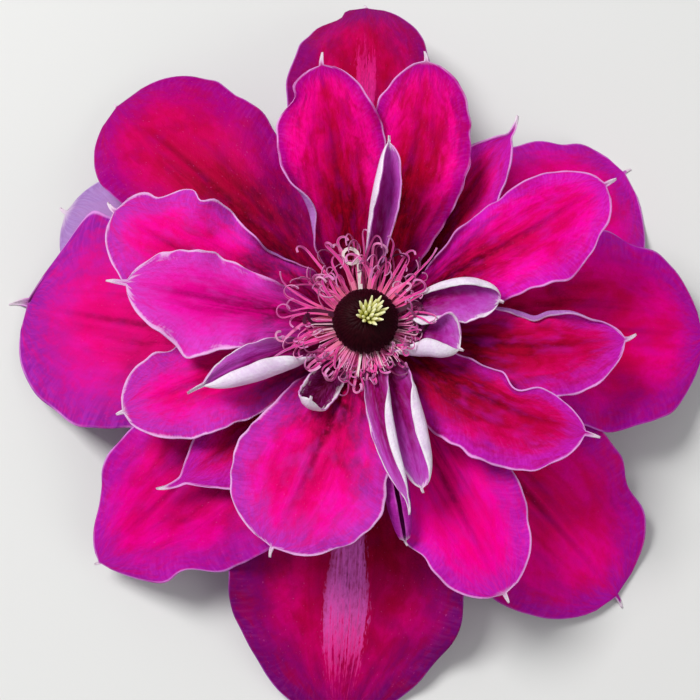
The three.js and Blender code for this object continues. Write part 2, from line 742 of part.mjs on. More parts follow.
const flower = new THREE.Group();
for (const sepal of SEPALS) {
  flower.add(petalMesh(sepal, 10, 9, sepal.name === 'sepal_faded' ? 0xb48ac8 : 0x96124f));
}
for (const petal of PETALS) flower.add(petalMesh(petal, 9, 9, 0xc0146a));
for (const petal of INNER_PETALS) flower.add(petalMesh(petal, 7, 7, 0xd58ad0));
flower.add(named('stalk', stalk(), 0x6d7a3c, 0.7));
flower.add(named('filaments', filaments(), 0x9c5a72, 0.7));
const dome = antherDome();
flower.add(named('anther_dome', dome.geometry, 0x2a0a18, 0.8));
flower.add(named('stigma_tuft', stigmaTuft(dome.wellFloor), 0xe8dd8c, 0.6));

// The origin goes under the middle of the box
const middle = new THREE.Box3().setFromObject(flower).getCenter(new THREE.Vector3());
flower.position.set(-middle.x, -middle.y, 0);

export default flower;
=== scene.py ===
"""A double clematis flower, crimson and purple, lying face up on its sepals' ends."""

import math
from functools import partial

import bpy
import numpy as np
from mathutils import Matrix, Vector


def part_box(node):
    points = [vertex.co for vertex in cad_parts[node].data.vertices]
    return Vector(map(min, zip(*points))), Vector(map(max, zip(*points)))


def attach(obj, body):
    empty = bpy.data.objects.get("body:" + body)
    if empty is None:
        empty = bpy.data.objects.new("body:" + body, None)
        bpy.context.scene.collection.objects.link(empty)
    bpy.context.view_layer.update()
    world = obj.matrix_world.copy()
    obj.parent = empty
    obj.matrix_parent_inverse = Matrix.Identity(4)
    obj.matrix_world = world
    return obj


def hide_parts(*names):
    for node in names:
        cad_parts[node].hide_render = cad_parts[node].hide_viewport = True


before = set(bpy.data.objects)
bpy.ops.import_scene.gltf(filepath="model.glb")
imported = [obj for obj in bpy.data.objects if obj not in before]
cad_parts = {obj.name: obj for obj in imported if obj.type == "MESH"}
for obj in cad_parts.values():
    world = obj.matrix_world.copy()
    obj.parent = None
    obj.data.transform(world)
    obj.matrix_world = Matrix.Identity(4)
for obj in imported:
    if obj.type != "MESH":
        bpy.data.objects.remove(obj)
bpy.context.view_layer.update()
bpy.ops.object.select_all(action="DESELECT")

# The stalk: a short green stub, picked close beneath the head, and the pale column above it that
# carries every petal. It is one solid, with a fibrous green skin that turns purple near the head.
MM = 0.001
STUB_RADIUS = 1.3
STUB_START = 1
STALK_RINGS = [(5.8, 1.36), (3.4, 1.5), (1, 2.1), (0.8, 3), (0.6, 4), (0.9, 4.35), (15.75, 4.35)]
BLUSH_FROM = 8
BLUSH_TO = 24
stalk_low, stalk_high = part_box("stalk")
axis_x = (stalk_low.x + stalk_high.x) / 2
axis_y = (stalk_low.y + stalk_high.y) / 2


def feed(tree, entry, value):
    """Gives a socket a plain value, or links it to the output of another node."""
    if isinstance(value, bpy.types.NodeSocket):
        tree.links.new(value, entry)
    else:
        entry.default_value = value


def add_node(tree, kind, out, inputs=None, **settings):
    """The named output of a new shader node, whose inputs are plain values or other outputs."""
    node = tree.nodes.new("ShaderNode" + kind)
    for name, value in settings.items():
        setattr(node, name, value)
    for name, value in (inputs or {}).items():
        feed(tree, node.inputs[name], value)
    return node.outputs[out]


def mixed(tree, factor, under, over, blend_type="MIX"):
    """The colour under, with the one over it laid on or multiplied in by the factor."""
    return add_node(tree, "Mix", "Result", {"Factor": factor, "A": under, "B": over},
                    data_type="RGBA", blend_type=blend_type)


def between(tree, value, low, high, kind="LINEAR"):
    """How far the value has come from low to high, as a share from 0 to 1."""
    return add_node(tree, "MapRange", "Result", {"Value": value, "From Min": low, "From Max": high},
                    interpolation_type=kind)


def new_finish(name, rough, specular):
    """A new material, its nodes and the sockets of its shader."""
    material = bpy.data.materials.new(name)
    material.use_nodes = True
    shader = material.node_tree.nodes["Principled BSDF"].inputs
    shader["Roughness"].default_value = rough
    shader["Specular IOR Level"].default_value = specular
    return material, material.node_tree, shader


skin, tree, shader = new_finish("stalk_skin", 0.55, 0.3)
place = add_node(tree, "TexCoord", "Object")
stretch = add_node(tree, "Mapping", "Vector", {"Vector": place, "Scale": (900, 900, 60)})
fibres = add_node(tree, "TexNoise", "Fac", {"Vector": stretch, "Scale": 1, "Detail": 4})
up_stalk = add_node(tree, "SeparateXYZ", "Z", {"Vector": place})
near_head = between(tree, up_stalk, BLUSH_FROM * MM, BLUSH_TO * MM)
blush = mixed(tree, near_head, (0.16, 0.2, 0.045, 1), (0.2, 0.02, 0.06, 1))
shade = mixed(tree, fibres, blush, (0.45, 0.4, 0.4, 1), "MULTIPLY")
relief = add_node(tree, "Bump", "Normal", {"Strength": 0.5, "Distance": 0.15 * MM, "Height": fibres})
feed(tree, shader["Base Color"], shade)
feed(tree, shader["Normal"], relief)

bpy.ops.mesh.primitive_cylinder_add(vertices=48, radius=STUB_RADIUS * MM, depth=STUB_START * MM,
                                    end_fill_type="NGON",
                                    location=(axis_x, axis_y, stalk_low.z + STUB_START / 2 * MM))
stalk = bpy.context.object
stalk.name = "stalk_skin"
bpy.ops.object.mode_set(mode="EDIT")
bpy.ops.mesh.select_mode(type="FACE")
bpy.ops.mesh.select_all(action="DESELECT")
bpy.ops.object.mode_set(mode="OBJECT")
top_face = max(stalk.data.polygons, key=lambda face: face.center.z)
top_face.select = True
bpy.ops.object.mode_set(mode="EDIT")
radius = STUB_RADIUS
for rise, wider in STALK_RINGS:
    bpy.ops.mesh.extrude_region_move(TRANSFORM_OT_translate={"value": (0, 0, rise * MM)})
    bpy.ops.transform.resize(value=(wider / radius, wider / radius, 1))
    radius = wider
bpy.ops.object.mode_set(mode="OBJECT")
bpy.ops.object.transform_apply(location=True, rotation=True, scale=True)
bpy.ops.object.shade_smooth_by_angle(angle=math.radians(40))
stalk.data.materials.append(skin)
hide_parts("stalk")
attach(stalk, "root")

# The sepals: nine broad outer blades of velvety tissue, thin and soft, crimson down the middle and
# purple at the margins, with a fine pale rim and a pointed pale tip. Each grows out of the column,
# is laid over those that grew before it, and the lowest ones droop until their ends lie flat.
AXIS_HEIGHT = 15
FOOT_RADIUS = 5
LEVEL_STEP = 1.25
BLADE = 0.7
SEAT_GAP = 0.32
REST_DIP = 3
CELL = 0.5
MAP_HALF = 100
MAP_SIDE = round(2 * MAP_HALF / CELL)
MIDLINE_STEPS = 240
SECTION_STEPS = 60
PLAIN = dict(tip=2, claw=4, level=0, swerve=0, pitch=(10, 0, -15), cup=(40, 10, 0), roll=(0, 0), left=1,
             right=1, wave=(1, 2.5, 0), curls=(), nicks=(), rests=False, crimp=0.22, hems=())


def shaped(name, heading, length, width, broadest=0.55, fullness=0.75, **rest):
    """A blade's own sizes: its heading in degrees, millimetres, and where and how it is full."""
    return dict(name=name, heading=heading, length=length, width=width, broadest=broadest,
                fullness=fullness, **rest)


SEPALS = [
    shaped("sepal_faded", 155, 69, 40, 0.6, 0.55, level=-1.1, claw=3.2, pitch=(2, -10, -22),
        cup=(30, 0, -10), wave=(0.8, 2, 1)),
    shaped("sepal_west", 171, 75, 45, 0.66, 0.44, swerve=-28, pitch=(10, -10, -34), cup=(30, -6, -24),
        tip=5, wave=(2, 3.5, 1), right=1.02, nicks=[(-1, 0.86, 0.09, -0.3)], rests=True),
    shaped("sepal_south", -94, 78, 47.5, 0.58, 0.6, pitch=(10, -12, -28), cup=(40, 10, -10), tip=3,
        wave=(1.4, 3, 3), rests=True),
    shaped("sepal_northeast", 35, 68, 44, 0.64, 0.46, pitch=(12, -8, -30), cup=(30, 0, -20),
        wave=(1.6, 3, 5), left=0.78, nicks=[(1, 0.84, 0.05, 0.12)], rests=True),
    shaped("sepal_southeast", -45, 73, 41, 0.66, 0.46, pitch=(8, -10, -28), cup=(30, 0, -16), tip=3,
        wave=(1.8, 3.5, 2), right=0.94, nicks=[(1, 0.76, 0.05, 0.12)], rests=True),
    shaped("sepal_northwest", 135.5, 74, 38, 0.7, 0.42, level=1, pitch=(12, -6, -40), cup=(36, 6, -24),
        tip=1.5, wave=(1.4, 2.5, 4), left=0.84, right=1.02, nicks=[(-1, 0.72, 0.12, 0.08)]),
    shaped("sepal_southwest", -140, 70, 38, 0.54, 0.66, level=1, pitch=(10, -6, -44), cup=(30, 0, -20),
        tip=1.5, wave=(2, 4, 0), left=1.12, right=0.84, nicks=[(1, 0.77, 0.05, 0.2)]),
    shaped("sepal_east", 1, 70, 41, 0.66, 0.46, level=1, pitch=(10, -8, -32), cup=(30, 0, -20), tip=2.5,
        wave=(2, 3.5, 2)),
    shaped("sepal_north", 89.5, 72.5, 33, 0.62, 0.48, level=2, pitch=(14, -2, -44), cup=(40, 10, -10),
        tip=1.5, wave=(1.4, 3, 1), left=0.98, right=0.88, nicks=[(1, 0.93, 0.03, 0.3)]),
]


def along(values, s):
    """A quadratic through three values, at the foot, the middle and the tip."""
    foot, middle, tip = values
    return foot * (1 - s) * (1 - 2 * s) + 4 * middle * s * (1 - s) + tip * s * (2 * s - 1)


def bell(x, middle, wide):
    """One at the middle, and falling off to both sides of it."""
    return np.exp(-(((x - middle) / wide) ** 2))


POINT_END = 0.15
POINT_SLOPE = 0.13
POINT_WIDEST = 1.0
POINT_BEND = 0.3


def half_width(petal, s, least):
    """Half the blade's width, with a blunt point at least so wide, or a fine tapering one."""
    body_end = 1 - petal["tip"] / petal["length"]
    t = np.minimum(s / body_end, 1)
    power = math.log(0.5) / math.log(petal["broadest"])
    body = np.maximum(0, np.sin(math.pi * t**power)) ** petal["fullness"]
    claw = petal["claw"] / petal["width"] * (1 - t) ** 2
    half = petal["width"] / 2 * np.hypot(body, claw)
    if least:
        point = np.minimum((1 - s) / (1 - body_end), 1)
        return np.maximum(half, least + 0.4 * point)
    point = np.clip(POINT_END + POINT_SLOPE * (1 - s) * petal["length"], 0, POINT_WIDEST)
    return (half**3 + point**3) ** (1 / 3)


def midline(petal):
    """Points, directions and sideways directions along the middle of the blade."""
    fine = np.linspace(0, 1, MIDLINE_STEPS + 1)
    pitch = np.radians(along(petal["pitch"], fine))
    heading = np.radians(petal["heading"] + petal["swerve"] * (fine - 0.5))
    tangent = np.stack([np.cos(pitch) * np.cos(heading), np.cos(pitch) * np.sin(heading),
                        np.sin(pitch)], axis=1)
    steps = (tangent[1:] + tangent[:-1]) * petal["length"] / MIDLINE_STEPS / 2
    turn = math.radians(petal["heading"])
    foot = np.array([FOOT_RADIUS * math.cos(turn), FOOT_RADIUS * math.sin(turn),
                     AXIS_HEIGHT + petal["level"] * LEVEL_STEP])
    points = foot + np.concatenate([np.zeros((1, 3)), np.cumsum(steps, axis=0)])
    across = np.stack([-np.sin(heading), np.cos(heading), np.zeros_like(heading)], axis=1)
    return points, tangent, across


def section(petal, s, side, curls):
    """How far one half of each cross-section reaches sideways and upward, as parts of its width."""
    x = np.linspace(0, 1, SECTION_STEPS + 1)
    turn = np.radians(along(petal["cup"], s))[:, None] / 2 * x
    for at, reach, degrees, start in (c[1:] for c in curls if c[0] == side):
        near = bell(s, at, reach)[:, None]
        turn = turn + math.radians(degrees) * near * np.clip((x - start) / (1 - start), 0, 1) ** 1.5
    steps = [(f(turn[:, 1:]) + f(turn[:, :-1])) / 2 / SECTION_STEPS for f in (np.cos, np.sin)]
    return [np.concatenate([np.zeros((len(s), 1)), np.cumsum(step, axis=1)], axis=1) for step in steps]


def ruffle(petal, s, side):
    """The height of the ruffle at the margin."""
    height, count, start = petal["wave"]
    t = np.clip(s / (1 - petal["tip"] / petal["length"]), 0, 1)
    swell = np.maximum(0, np.sin(math.pi * t**0.8)) ** 0.6
    shift = 0 if side > 0 else 2.1
    return height * swell * np.sin(2 * math.pi * (count * s + 0.1 * start) + shift)


# Grooves and ridges along the blade: millimetres from its middle, their width and their height
RIDGES = [(0, 0.55, -0.32), (1.5, 0.7, 0.2), (-1.5, 0.7, 0.2), (3.2, 0.6, -0.14), (-3.2, 0.6, -0.14)]


def fine_relief(petal, s, v, half):
    """Small crimps at the margin and the three ridges down the middle, in millimetres of height."""
    s = s[:, None]
    seed = petal["heading"]
    swell = np.sin(math.pi * np.clip(s, 0, 1) ** 0.7) ** 0.5
    folds = np.sin(31 * s + 2.5 * np.sin(7 * s + seed) + 1.3 * np.sign(v))
    crimps = (np.sin(58 * s + 3 * np.sin(9 * s + seed) + 2 * v) * 0.6
              + np.sin(97 * s + seed + 2.4 * np.sign(v)) * 0.4)
    relief = swell * (2.2 * petal["crimp"] * folds * np.abs(v) ** 3.2
                      + petal["crimp"] * crimps * np.abs(v) ** 6)
    offset = v[None, :] * half[:, None]
    fade = np.clip(1.15 - s, 0, 1)
    for middle, wide, high in RIDGES:
        spread = middle * np.clip(half / 12, 0.15, 1)[:, None]
        relief = relief + high * fade * bell(offset, spread, wide)
    puckers = np.sin(19 * s + 5 * v + seed) * np.sin(8 * v + 6 * s * np.sign(v) + 0.7 * seed)
    return relief + 0.16 * swell * puckers * np.abs(v)


def middle_surface(petal, rows, columns, least, fine=False):
    """The blade's middle surface as a grid of points, from foot to tip and from right to left."""
    points, tangents, acrosses = midline(petal)
    station = rows * MIDLINE_STEPS
    if not fine:
        station = np.round(station)
    at, tangent, across = (
        np.stack([np.interp(station, np.arange(MIDLINE_STEPS + 1), part[:, k]) for k in range(3)], axis=1)
        for part in (points, tangents, acrosses)
    )
    up = np.cross(tangent, across)
    roll = np.radians(petal["roll"][0] + (petal["roll"][1] - petal["roll"][0]) * rows)[:, None]
    sideways = across * np.cos(roll) + up * np.sin(roll)
    normal = np.cross(tangent, sideways)
    half = half_width(petal, rows, least)
    curls = [*petal["curls"], *(petal["hems"] if fine else ())]
    grid = np.zeros((len(rows), len(columns), 3))
    x = np.abs(columns)
    for side, factor in ((1, petal["left"]), (-1, petal["right"])):
        reach, rise = section(petal, rows, side, curls)
        chosen = np.flatnonzero(columns > 0) if side > 0 else np.flatnonzero(columns <= 0)
        wide = half * factor
        notch = np.zeros(len(rows))
        for at_s, spread, depth in (n[1:] for n in petal["nicks"] if n[0] == side):
            notch += depth * bell(rows, at_s, spread)
        ragged = np.zeros(len(rows))
        if fine:
            start = petal["heading"] + side
            notch += 0.03 * np.sin(23 * rows + start) * np.sin(9 * rows + 2 * side)
            teeth = np.sin(43 * rows + 3 * np.sin(6 * rows + start)) * np.sin(11 * rows + start) ** 2
            ragged = min(1, 20 / petal["width"]) ** 2 * (0.026 * teeth + 0.01 * np.sin(81 * rows + start))
        crest = ruffle(petal, rows, side)
        for c in chosen:
            place = x[c] * SECTION_STEPS
            low = min(int(place), SECTION_STEPS - 1)
            out = reach[:, low] + (reach[:, low + 1] - reach[:, low]) * (place - low)
            high = rise[:, low] + (rise[:, low + 1] - rise[:, low]) * (place - low)
            out = out * wide * side * (1 - notch * x[c] - ragged * x[c] ** 4)
            high = high * wide + x[c] ** 2.2 * crest
            grid[:, c] = at + sideways * out[:, None] + normal * high[:, None]
    if fine:
        grid += normal[:, None] * fine_relief(petal, rows, columns, half)[:, :, None]
        beyond = np.clip(1 - (1 - rows) * petal["length"] / petal["tip"], 0, 1) ** 2
        bent = POINT_BEND * petal["tip"] * math.sin(petal["heading"]) * beyond
        grid += (sideways * bent[:, None])[:, None]
    return grid, half


def blade_faces(grid):
    """The two faces of the blade, half its thickness to each side of the middle surface."""
    rows = np.concatenate([grid[:1], grid, grid[-1:]])
    columns = np.concatenate([grid[:, :1], grid, grid[:, -1:]], axis=1)
    normal = np.cross(rows[2:] - rows[:-2], columns[:, 2:] - columns[:, :-2])
    normal /= np.linalg.norm(normal, axis=2, keepdims=True) + 1e-12
    return grid + normal * BLADE / 2, grid - normal * BLADE / 2


SAMPLES = 9
weights = np.array([(1 - (i + j) / SAMPLES, i / SAMPLES, j / SAMPLES)
                    for i in range(SAMPLES + 1) for j in range(SAMPLES + 1 - i)])
height_map = np.full((MAP_SIDE, MAP_SIDE), -1000.0)


def spread_points(face):
    """Points spread over every triangle of a face, and the corners of each triangle."""
    rows, columns = face.shape[:2]
    at = np.arange(rows * columns).reshape(rows, columns)
    a, b, c, d = (part.ravel() for part in (at[:-1, :-1], at[1:, :-1], at[1:, 1:], at[:-1, 1:]))
    corners = np.concatenate([np.stack([a, b, c], axis=1), np.stack([a, c, d], axis=1)])
    return np.einsum("kw,twx->tkx", weights, face.reshape(-1, 3)[corners]), corners


def cells(points):
    """The height map's cells that the points lie over."""
    return np.clip(np.floor((points[..., :2] + MAP_HALF) / CELL).astype(int), 1, MAP_SIDE - 2)


def nearby_heights():
    """The height map, with each cell raised to the highest of its neighbours."""
    raised = height_map.copy()
    for i in (-1, 0, 1):
        for j in (-1, 0, 1):
            raised = np.maximum(raised, np.roll(height_map, (i, j), axis=(0, 1)))
    return raised


def neighbours(grid, **edges):
    """The sum of each point's four neighbours on the grid."""
    around = np.pad(grid, 1, **edges)
    return around[:-2, 1:-1] + around[2:, 1:-1] + around[1:-1, :-2] + around[1:-1, 2:]


RELAX_ROUNDS = 400
RELAX_KEEP = 0.995
LIFT_ROUNDS = 4
CORNER_ROUNDS = 12


def relax(need):
    """Spreads the lift that some points need over the blade, down to nothing at the foot."""
    lift = need.copy()
    for _ in range(RELAX_ROUNDS):
        lift = np.maximum(need, RELAX_KEEP * neighbours(lift, mode="edge") / 4)
        lift[0] = need[0]
    return lift


def lay_over_the_rest(grid, rows, rests):
    """Droops a resting sepal, then lifts the blade clear of all that lies below it."""
    if rests:
        droop = grid[:, :, 2].min() - BLADE / 2 + REST_DIP
        grid[:, :, 2] -= droop * rows[:, None] ** 2
    below = nearby_heights()
    for _ in range(LIFT_ROUNDS):
        need = np.zeros(grid.shape[0] * grid.shape[1])
        for face in blade_faces(grid):
            points, corners = spread_points(face)
            cell = cells(points)
            short = (below[cell[..., 0], cell[..., 1]] + SEAT_GAP - points[..., 2]).max(axis=1)
            for k in range(3):
                np.maximum.at(need, corners[:, k], short)
        if need.max() <= 0:
            break
        grid[:, :, 2] += relax(need.reshape(grid.shape[:2]))
    for face in blade_faces(grid):
        points, _ = spread_points(face)
        cell = cells(points)
        np.maximum.at(height_map, (cell[..., 0], cell[..., 1]), points[..., 2])
    return grid


def smooth_between(values, old_rows, old_columns, rows, columns):
    """Values on a coarse grid carried over to a fine one, with the corners rounded off."""
    wide = np.stack([np.interp(columns, old_columns, line) for line in values])
    fine = np.stack([np.interp(rows, old_rows, line) for line in wide.T], axis=1)
    for _ in range(CORNER_ROUNDS):
        fine = (neighbours(fine, mode="reflect", reflect_type="odd") + 4 * fine) / 8
    return fine


def row_places(count):
    """Places of the coarse rows along the blade: even ones, and two more at its tip."""
    return np.concatenate([np.linspace(0, 0.955, count), [0.98, 1]])


TISSUE = 0.3
EDGE_STEPS = 300
REST_HEIGHT = 0.22
REST_SOFTNESS = 0.02


def mesh_places(piece):
    """The places of a piece's vertices, a row for each."""
    flat = np.zeros(len(piece.data.vertices) * 3)
    piece.data.vertices.foreach_get("co", flat)
    return flat.reshape(-1, 3)


def loop_corners(mesh):
    """The vertex at each corner of each face."""
    corner = np.zeros(len(mesh.loops), int)
    mesh.loops.foreach_get("vertex_index", corner)
    return corner


def mark_points(mesh, **marks):
    """Numbers for each vertex, which the materials read by their labels."""
    for label, amount in marks.items():
        layer = mesh.attributes.new(label, "FLOAT", "POINT")
        layer.data.foreach_set("value", amount.astype(np.float32))


def grow(entry, coarse_rows, coarse_columns, fine_rows, fine_columns, finish):
    """One blade: grown, laid over the others, and made a thin skin with a face, a back and a rim."""
    petal = PLAIN | entry
    old_rows = row_places(coarse_rows)
    old_columns = np.linspace(-1, 1, coarse_columns)
    grid, _ = middle_surface(petal, old_rows, old_columns, 0.5)
    before = grid[:, :, 2].copy()
    lift = lay_over_the_rest(grid, old_rows, petal["rests"])[:, :, 2] - before
    body_end = 1 - petal["tip"] / petal["length"]
    body_rows = round(fine_rows * 0.9)
    rows = np.concatenate([np.linspace(0, body_end, body_rows, endpoint=False) ** 0.97,
                           np.linspace(body_end, 1, fine_rows - body_rows)])
    even = np.linspace(-1, 1, fine_columns)
    columns = 0.55 * even + 0.45 * np.sin(math.pi / 2 * even)
    shape, half = middle_surface(petal, rows, columns, 0, fine=True)
    shape[:, :, 2] += smooth_between(lift, old_rows, old_columns, rows, columns)
    low = shape[:, :, 2] - REST_HEIGHT
    shape[:, :, 2] = REST_HEIGHT + (low + np.sqrt(low**2 + REST_SOFTNESS)) / 2
    shape[:, :, 0] += axis_x / MM
    shape[:, :, 1] += axis_y / MM

    bpy.ops.mesh.primitive_grid_add(x_subdivisions=fine_rows - 1, y_subdivisions=fine_columns - 1,
                                    size=2, calc_uvs=True)
    blade = bpy.context.object
    blade.name = petal["name"] + "_blade"
    mesh = blade.data
    flat = mesh_places(blade)
    r = np.round((flat[:, 0] + 1) / 2 * (fine_rows - 1)).astype(int)
    c = np.round((flat[:, 1] + 1) / 2 * (fine_columns - 1)).astype(int)
    mesh.vertices.foreach_set("co", (shape[r, c] * MM).ravel())
    flat_along = np.repeat(rows[:, None] * petal["length"], fine_columns, axis=1)
    flat_across = half[:, None] * columns[None, :]
    from_margin = np.full(flat_across.shape, 1e3)
    edge_along = np.linspace(0, petal["length"], EDGE_STEPS)
    edge_across = np.interp(edge_along, rows * petal["length"], half)
    for side in (1, -1):
        gap = np.hypot(flat_along[:, :, None] - edge_along, flat_across[:, :, None] - side * edge_across)
        from_margin = np.minimum(from_margin, gap.min(axis=2))
    from_margin[:, [0, -1]] = 0
    own = np.full(len(r), petal["heading"] * 0.37 + petal["level"])
    mark_points(mesh, margin=from_margin[r, c], aside=np.abs(flat_across)[r, c], own=own)
    corner = loop_corners(mesh)
    uv = np.stack([rows[r[corner]], (columns[c[corner]] + 1) / 2], axis=1)
    mesh.uv_layers[0].data.foreach_set("uv", uv.ravel())
    mesh.update()
    for material in finish:
        mesh.materials.append(material)
    skin_depth = blade.modifiers.new("tissue", "SOLIDIFY")
    skin_depth.thickness = TISSUE * MM
    skin_depth.offset = 0
    skin_depth.material_offset = 1
    skin_depth.material_offset_rim = 2
    bpy.ops.object.modifier_apply(modifier=skin_depth.name)
    bpy.ops.object.shade_smooth()
    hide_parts(petal["name"])
    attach(blade, "root")
    blade.select_set(False)
    return blade


# Base Reach sets how far the dark foot reaches: painted shade deep in the bowl and under the blades above.
# Base is the near-black of the dark streaks and veins, and of the dark foot and midrib, which are partly
# painted shade.
PATTERN_COLORS = {"Middle": (0.54, 0, 0.045, 1), "Body": (0.86, 0, 0.27, 1),
                  "Flank": (0.56, 0.012, 0.46, 1), "Base": (0.1, 0, 0.006, 1),
                  "Rim": (0.82, 0.34, 0.76, 1), "Vein": (0.78, 0.06, 0.66, 1)}
PATTERN_NUMBERS = {"Flank Width": 5, "Rim Width": 0.45, "Frost": 0, "Bar": 0, "Base Reach": 0.3, "Seed": 0,
                   "Rib": 0.55, "Tip From": 0.955, "Comb": 0.26, "Bar From": 0.2, "Bar To": 0.95}
BAR_END = (0.82, 0.01, 0.2, 1)
SPECK = (0.9, 0.1, 0.45, 1)
PALE_TIP = (0.88, 0.72, 0.84, 1)


def petal_pattern():
    """The pattern of a petal's face: crimson middle, purple flanks, veins, specks and pale rim."""
    group = bpy.data.node_groups.new("petal_pattern", "ShaderNodeTree")
    for kind, values in (("Color", PATTERN_COLORS), ("Float", PATTERN_NUMBERS)):
        for name, value in values.items():
            made = group.interface.new_socket(name=name, in_out="INPUT", socket_type="NodeSocket" + kind)
            made.default_value = value
    for name, kind in (("Color", "Color"), ("Height", "Float")):
        group.interface.new_socket(name=name, in_out="OUTPUT", socket_type="NodeSocket" + kind)
    given = group.nodes.new("NodeGroupInput").outputs
    result = group.nodes.new("NodeGroupOutput").inputs

    def calc(operation, first, *others, clamp=False):
        for other in others:
            first = add_node(group, "Math", "Value", {0: first, 1: other}, operation=operation,
                             use_clamp=clamp)
        return first

    times, plus, minus = (partial(calc, name) for name in ("MULTIPLY", "ADD", "SUBTRACT"))
    blend = partial(mixed, group)
    ramp = partial(between, group, kind="SMOOTHSTEP")
    color = given["Body"]

    def falling(value, low, high):
        return minus(1, ramp(value, low, high))

    def lay(over, *shares):
        """Lays a colour over the pattern so far, by the product of the shares."""
        nonlocal color
        color = blend(times(*shares), color, given[over] if isinstance(over, str) else over)

    # Places on the blade: s from foot to tip, v from side to side, and millimetres from its margin
    uv = add_node(group, "UVMap", "UV")
    s, width = (add_node(group, "SeparateXYZ", axis, {"Vector": uv}) for axis in "XY")
    v = minus(times(width, 2), 1)
    x = calc("ABSOLUTE", v, 0)
    margin, aside, own = (add_node(group, "Attribute", "Fac", attribute_name=label)
                          for label in ("margin", "aside", "own"))
    own = plus(own, given["Seed"])

    def noise(lengthwise, across, scale, detail, distortion=0, lane=s):
        place = add_node(group, "CombineXYZ", "Vector",
                         {"X": times(lane, lengthwise), "Y": times(v, across), "Z": own})
        return add_node(group, "TexNoise", "Fac", {"Vector": place, "Scale": scale, "Detail": detail,
                                                   "Distortion": distortion})

    # Veins leave the middle at a slant and meet the margin square on
    slant = minus(s, times(minus(times(x, 2), times(x, x)), 0.22))
    fine_veins = noise(60, 2.4, 2.2, 3, 0.3, slant)
    broad_veins = noise(16, 1.6, 2, 3, 0.6, slant)
    long_veins = noise(2.4, 9, 1.2, 2, 0.5)
    blotch = noise(5, 2.4, 1.6, 4, 0.5)
    mottle = noise(38, 13, 1.2, 4, 0.4)
    grain = noise(60, 24, 3, 2)

    # Crimson round the middle, magenta outside it
    spread = plus(x, times(minus(blotch, 0.5), 0.8))
    lay("Middle", falling(spread, 0.1, 0.75), falling(plus(s, times(blotch, 0.4)), 0.6, 1.3))
    lay("Middle", falling(blotch, 0.36, 0.56), 0.55)

    # Soft dark streaks along the middle, and the narrow dark midrib, partly its own colour and partly
    # painted shade of the groove down the middle
    lay("Base", ramp(long_veins, 0.4, 0.75), falling(x, 0.1, 0.75), falling(s, 0.3, 0.9), 0.7)
    lay("Base", falling(aside, 0.1, 1.1), falling(s, 0.55, 0.95), given["Rib"])

    # Purple flanks of uneven width, with faint combed veins that end at the margin
    uneven = plus(times(minus(blotch, 0.5), 9), times(minus(broad_veins, 0.5), 3))
    uneven = times(uneven, ramp(margin, 0, 4))
    flank = falling(plus(margin, uneven), 0, times(given["Flank Width"], 1.7))
    lay("Flank", flank, ramp(s, 0.05, 0.25))
    lay("Vein", ramp(fine_veins, 0.42, 0.72), falling(margin, 0.5, 7), given["Comb"])
    lay("Base", ramp(minus(1, fine_veins), 0.42, 0.7), flank, times(given["Comb"], 0.6))

    # The dark foot, reaching further along the middle, is partly the tissue's own colour and partly painted
    # shade of the bowl and of the blades above. Then the velvet's soft mottling all over
    foot_edge = plus(s, times(minus(blotch, 0.5), 0.7), times(x, 0.2))
    lay("Base", falling(foot_edge, 0.12, given["Base Reach"]))
    lay("Middle", falling(mottle, 0.3, 0.6), 0.35)
    cloud = noise(8, 3.5, 1.4, 2)
    lay("Flank", ramp(cloud, 0.45, 0.85), 0.35)
    lay("Middle", falling(cloud, 0.25, 0.5), 0.45)

    # Frost that reaches in from the margin in patches
    reach = times(given["Frost"], plus(0.3, fine_veins), times(ramp(blotch, 0.36, 0.66), 1.8))
    lay("Rim", falling(margin, 0.1, plus(reach, 0.15)), calc("GREATER_THAN", given["Frost"], 0.01),
        ramp(s, 0.2, 0.55))

    # The pale felted bar down the middle, frayed at its sides, that dissolves into pink streaks
    bar_from, bar_to = given["Bar From"], given["Bar To"]
    frayed = minus(noise(30, 22, 1.7, 5, 0.3), 0.5)
    streaked = minus(noise(7, 60, 1, 3, 0.3), 0.5)
    beside = plus(x, plus(times(frayed, 0.16), times(streaked, 0.1)))
    ending = plus(s, plus(times(frayed, 0.3), times(streaked, 0.5)))
    bar_half = times(given["Bar"], plus(0.6, times(ramp(s, bar_from, 0.72), 0.4)))
    bar = times(falling(beside, minus(bar_half, 0.025), plus(bar_half, 0.015)),
                ramp(s, minus(bar_from, 0.1), bar_from), falling(ending, minus(bar_to, 0.1), bar_to),
                calc("GREATER_THAN", given["Bar"], 0.01))
    felted = plus(times(frayed, 1.6), times(streaked, 1.6), times(grain, 0.3))
    worn = ramp(ending, minus(bar_to, 0.3), bar_to)
    lay(blend(worn, given["Vein"], BAR_END), bar, calc("ADD", 0.62, felted, clamp=True))

    # The pale rim, a few specks, and the pale tip
    rim_width = given["Rim Width"]
    lay("Rim", falling(margin, times(rim_width, 0.3), rim_width), ramp(blotch, 0.3, 0.6),
        ramp(s, 0.15, 0.6))
    lay(SPECK, ramp(noise(60, 25, 3, 0), 0.8, 0.86), 0.3)
    lay(PALE_TIP, ramp(plus(s, times(mottle, 0.02)), given["Tip From"], 0.995))
    feed(group, result["Color"], color)
    feed(group, result["Height"], plus(times(fine_veins, 0.35), times(grain, 0.4),
                                       times(long_veins, 0.9), times(mottle, 0.9)))
    return group


pattern = petal_pattern()


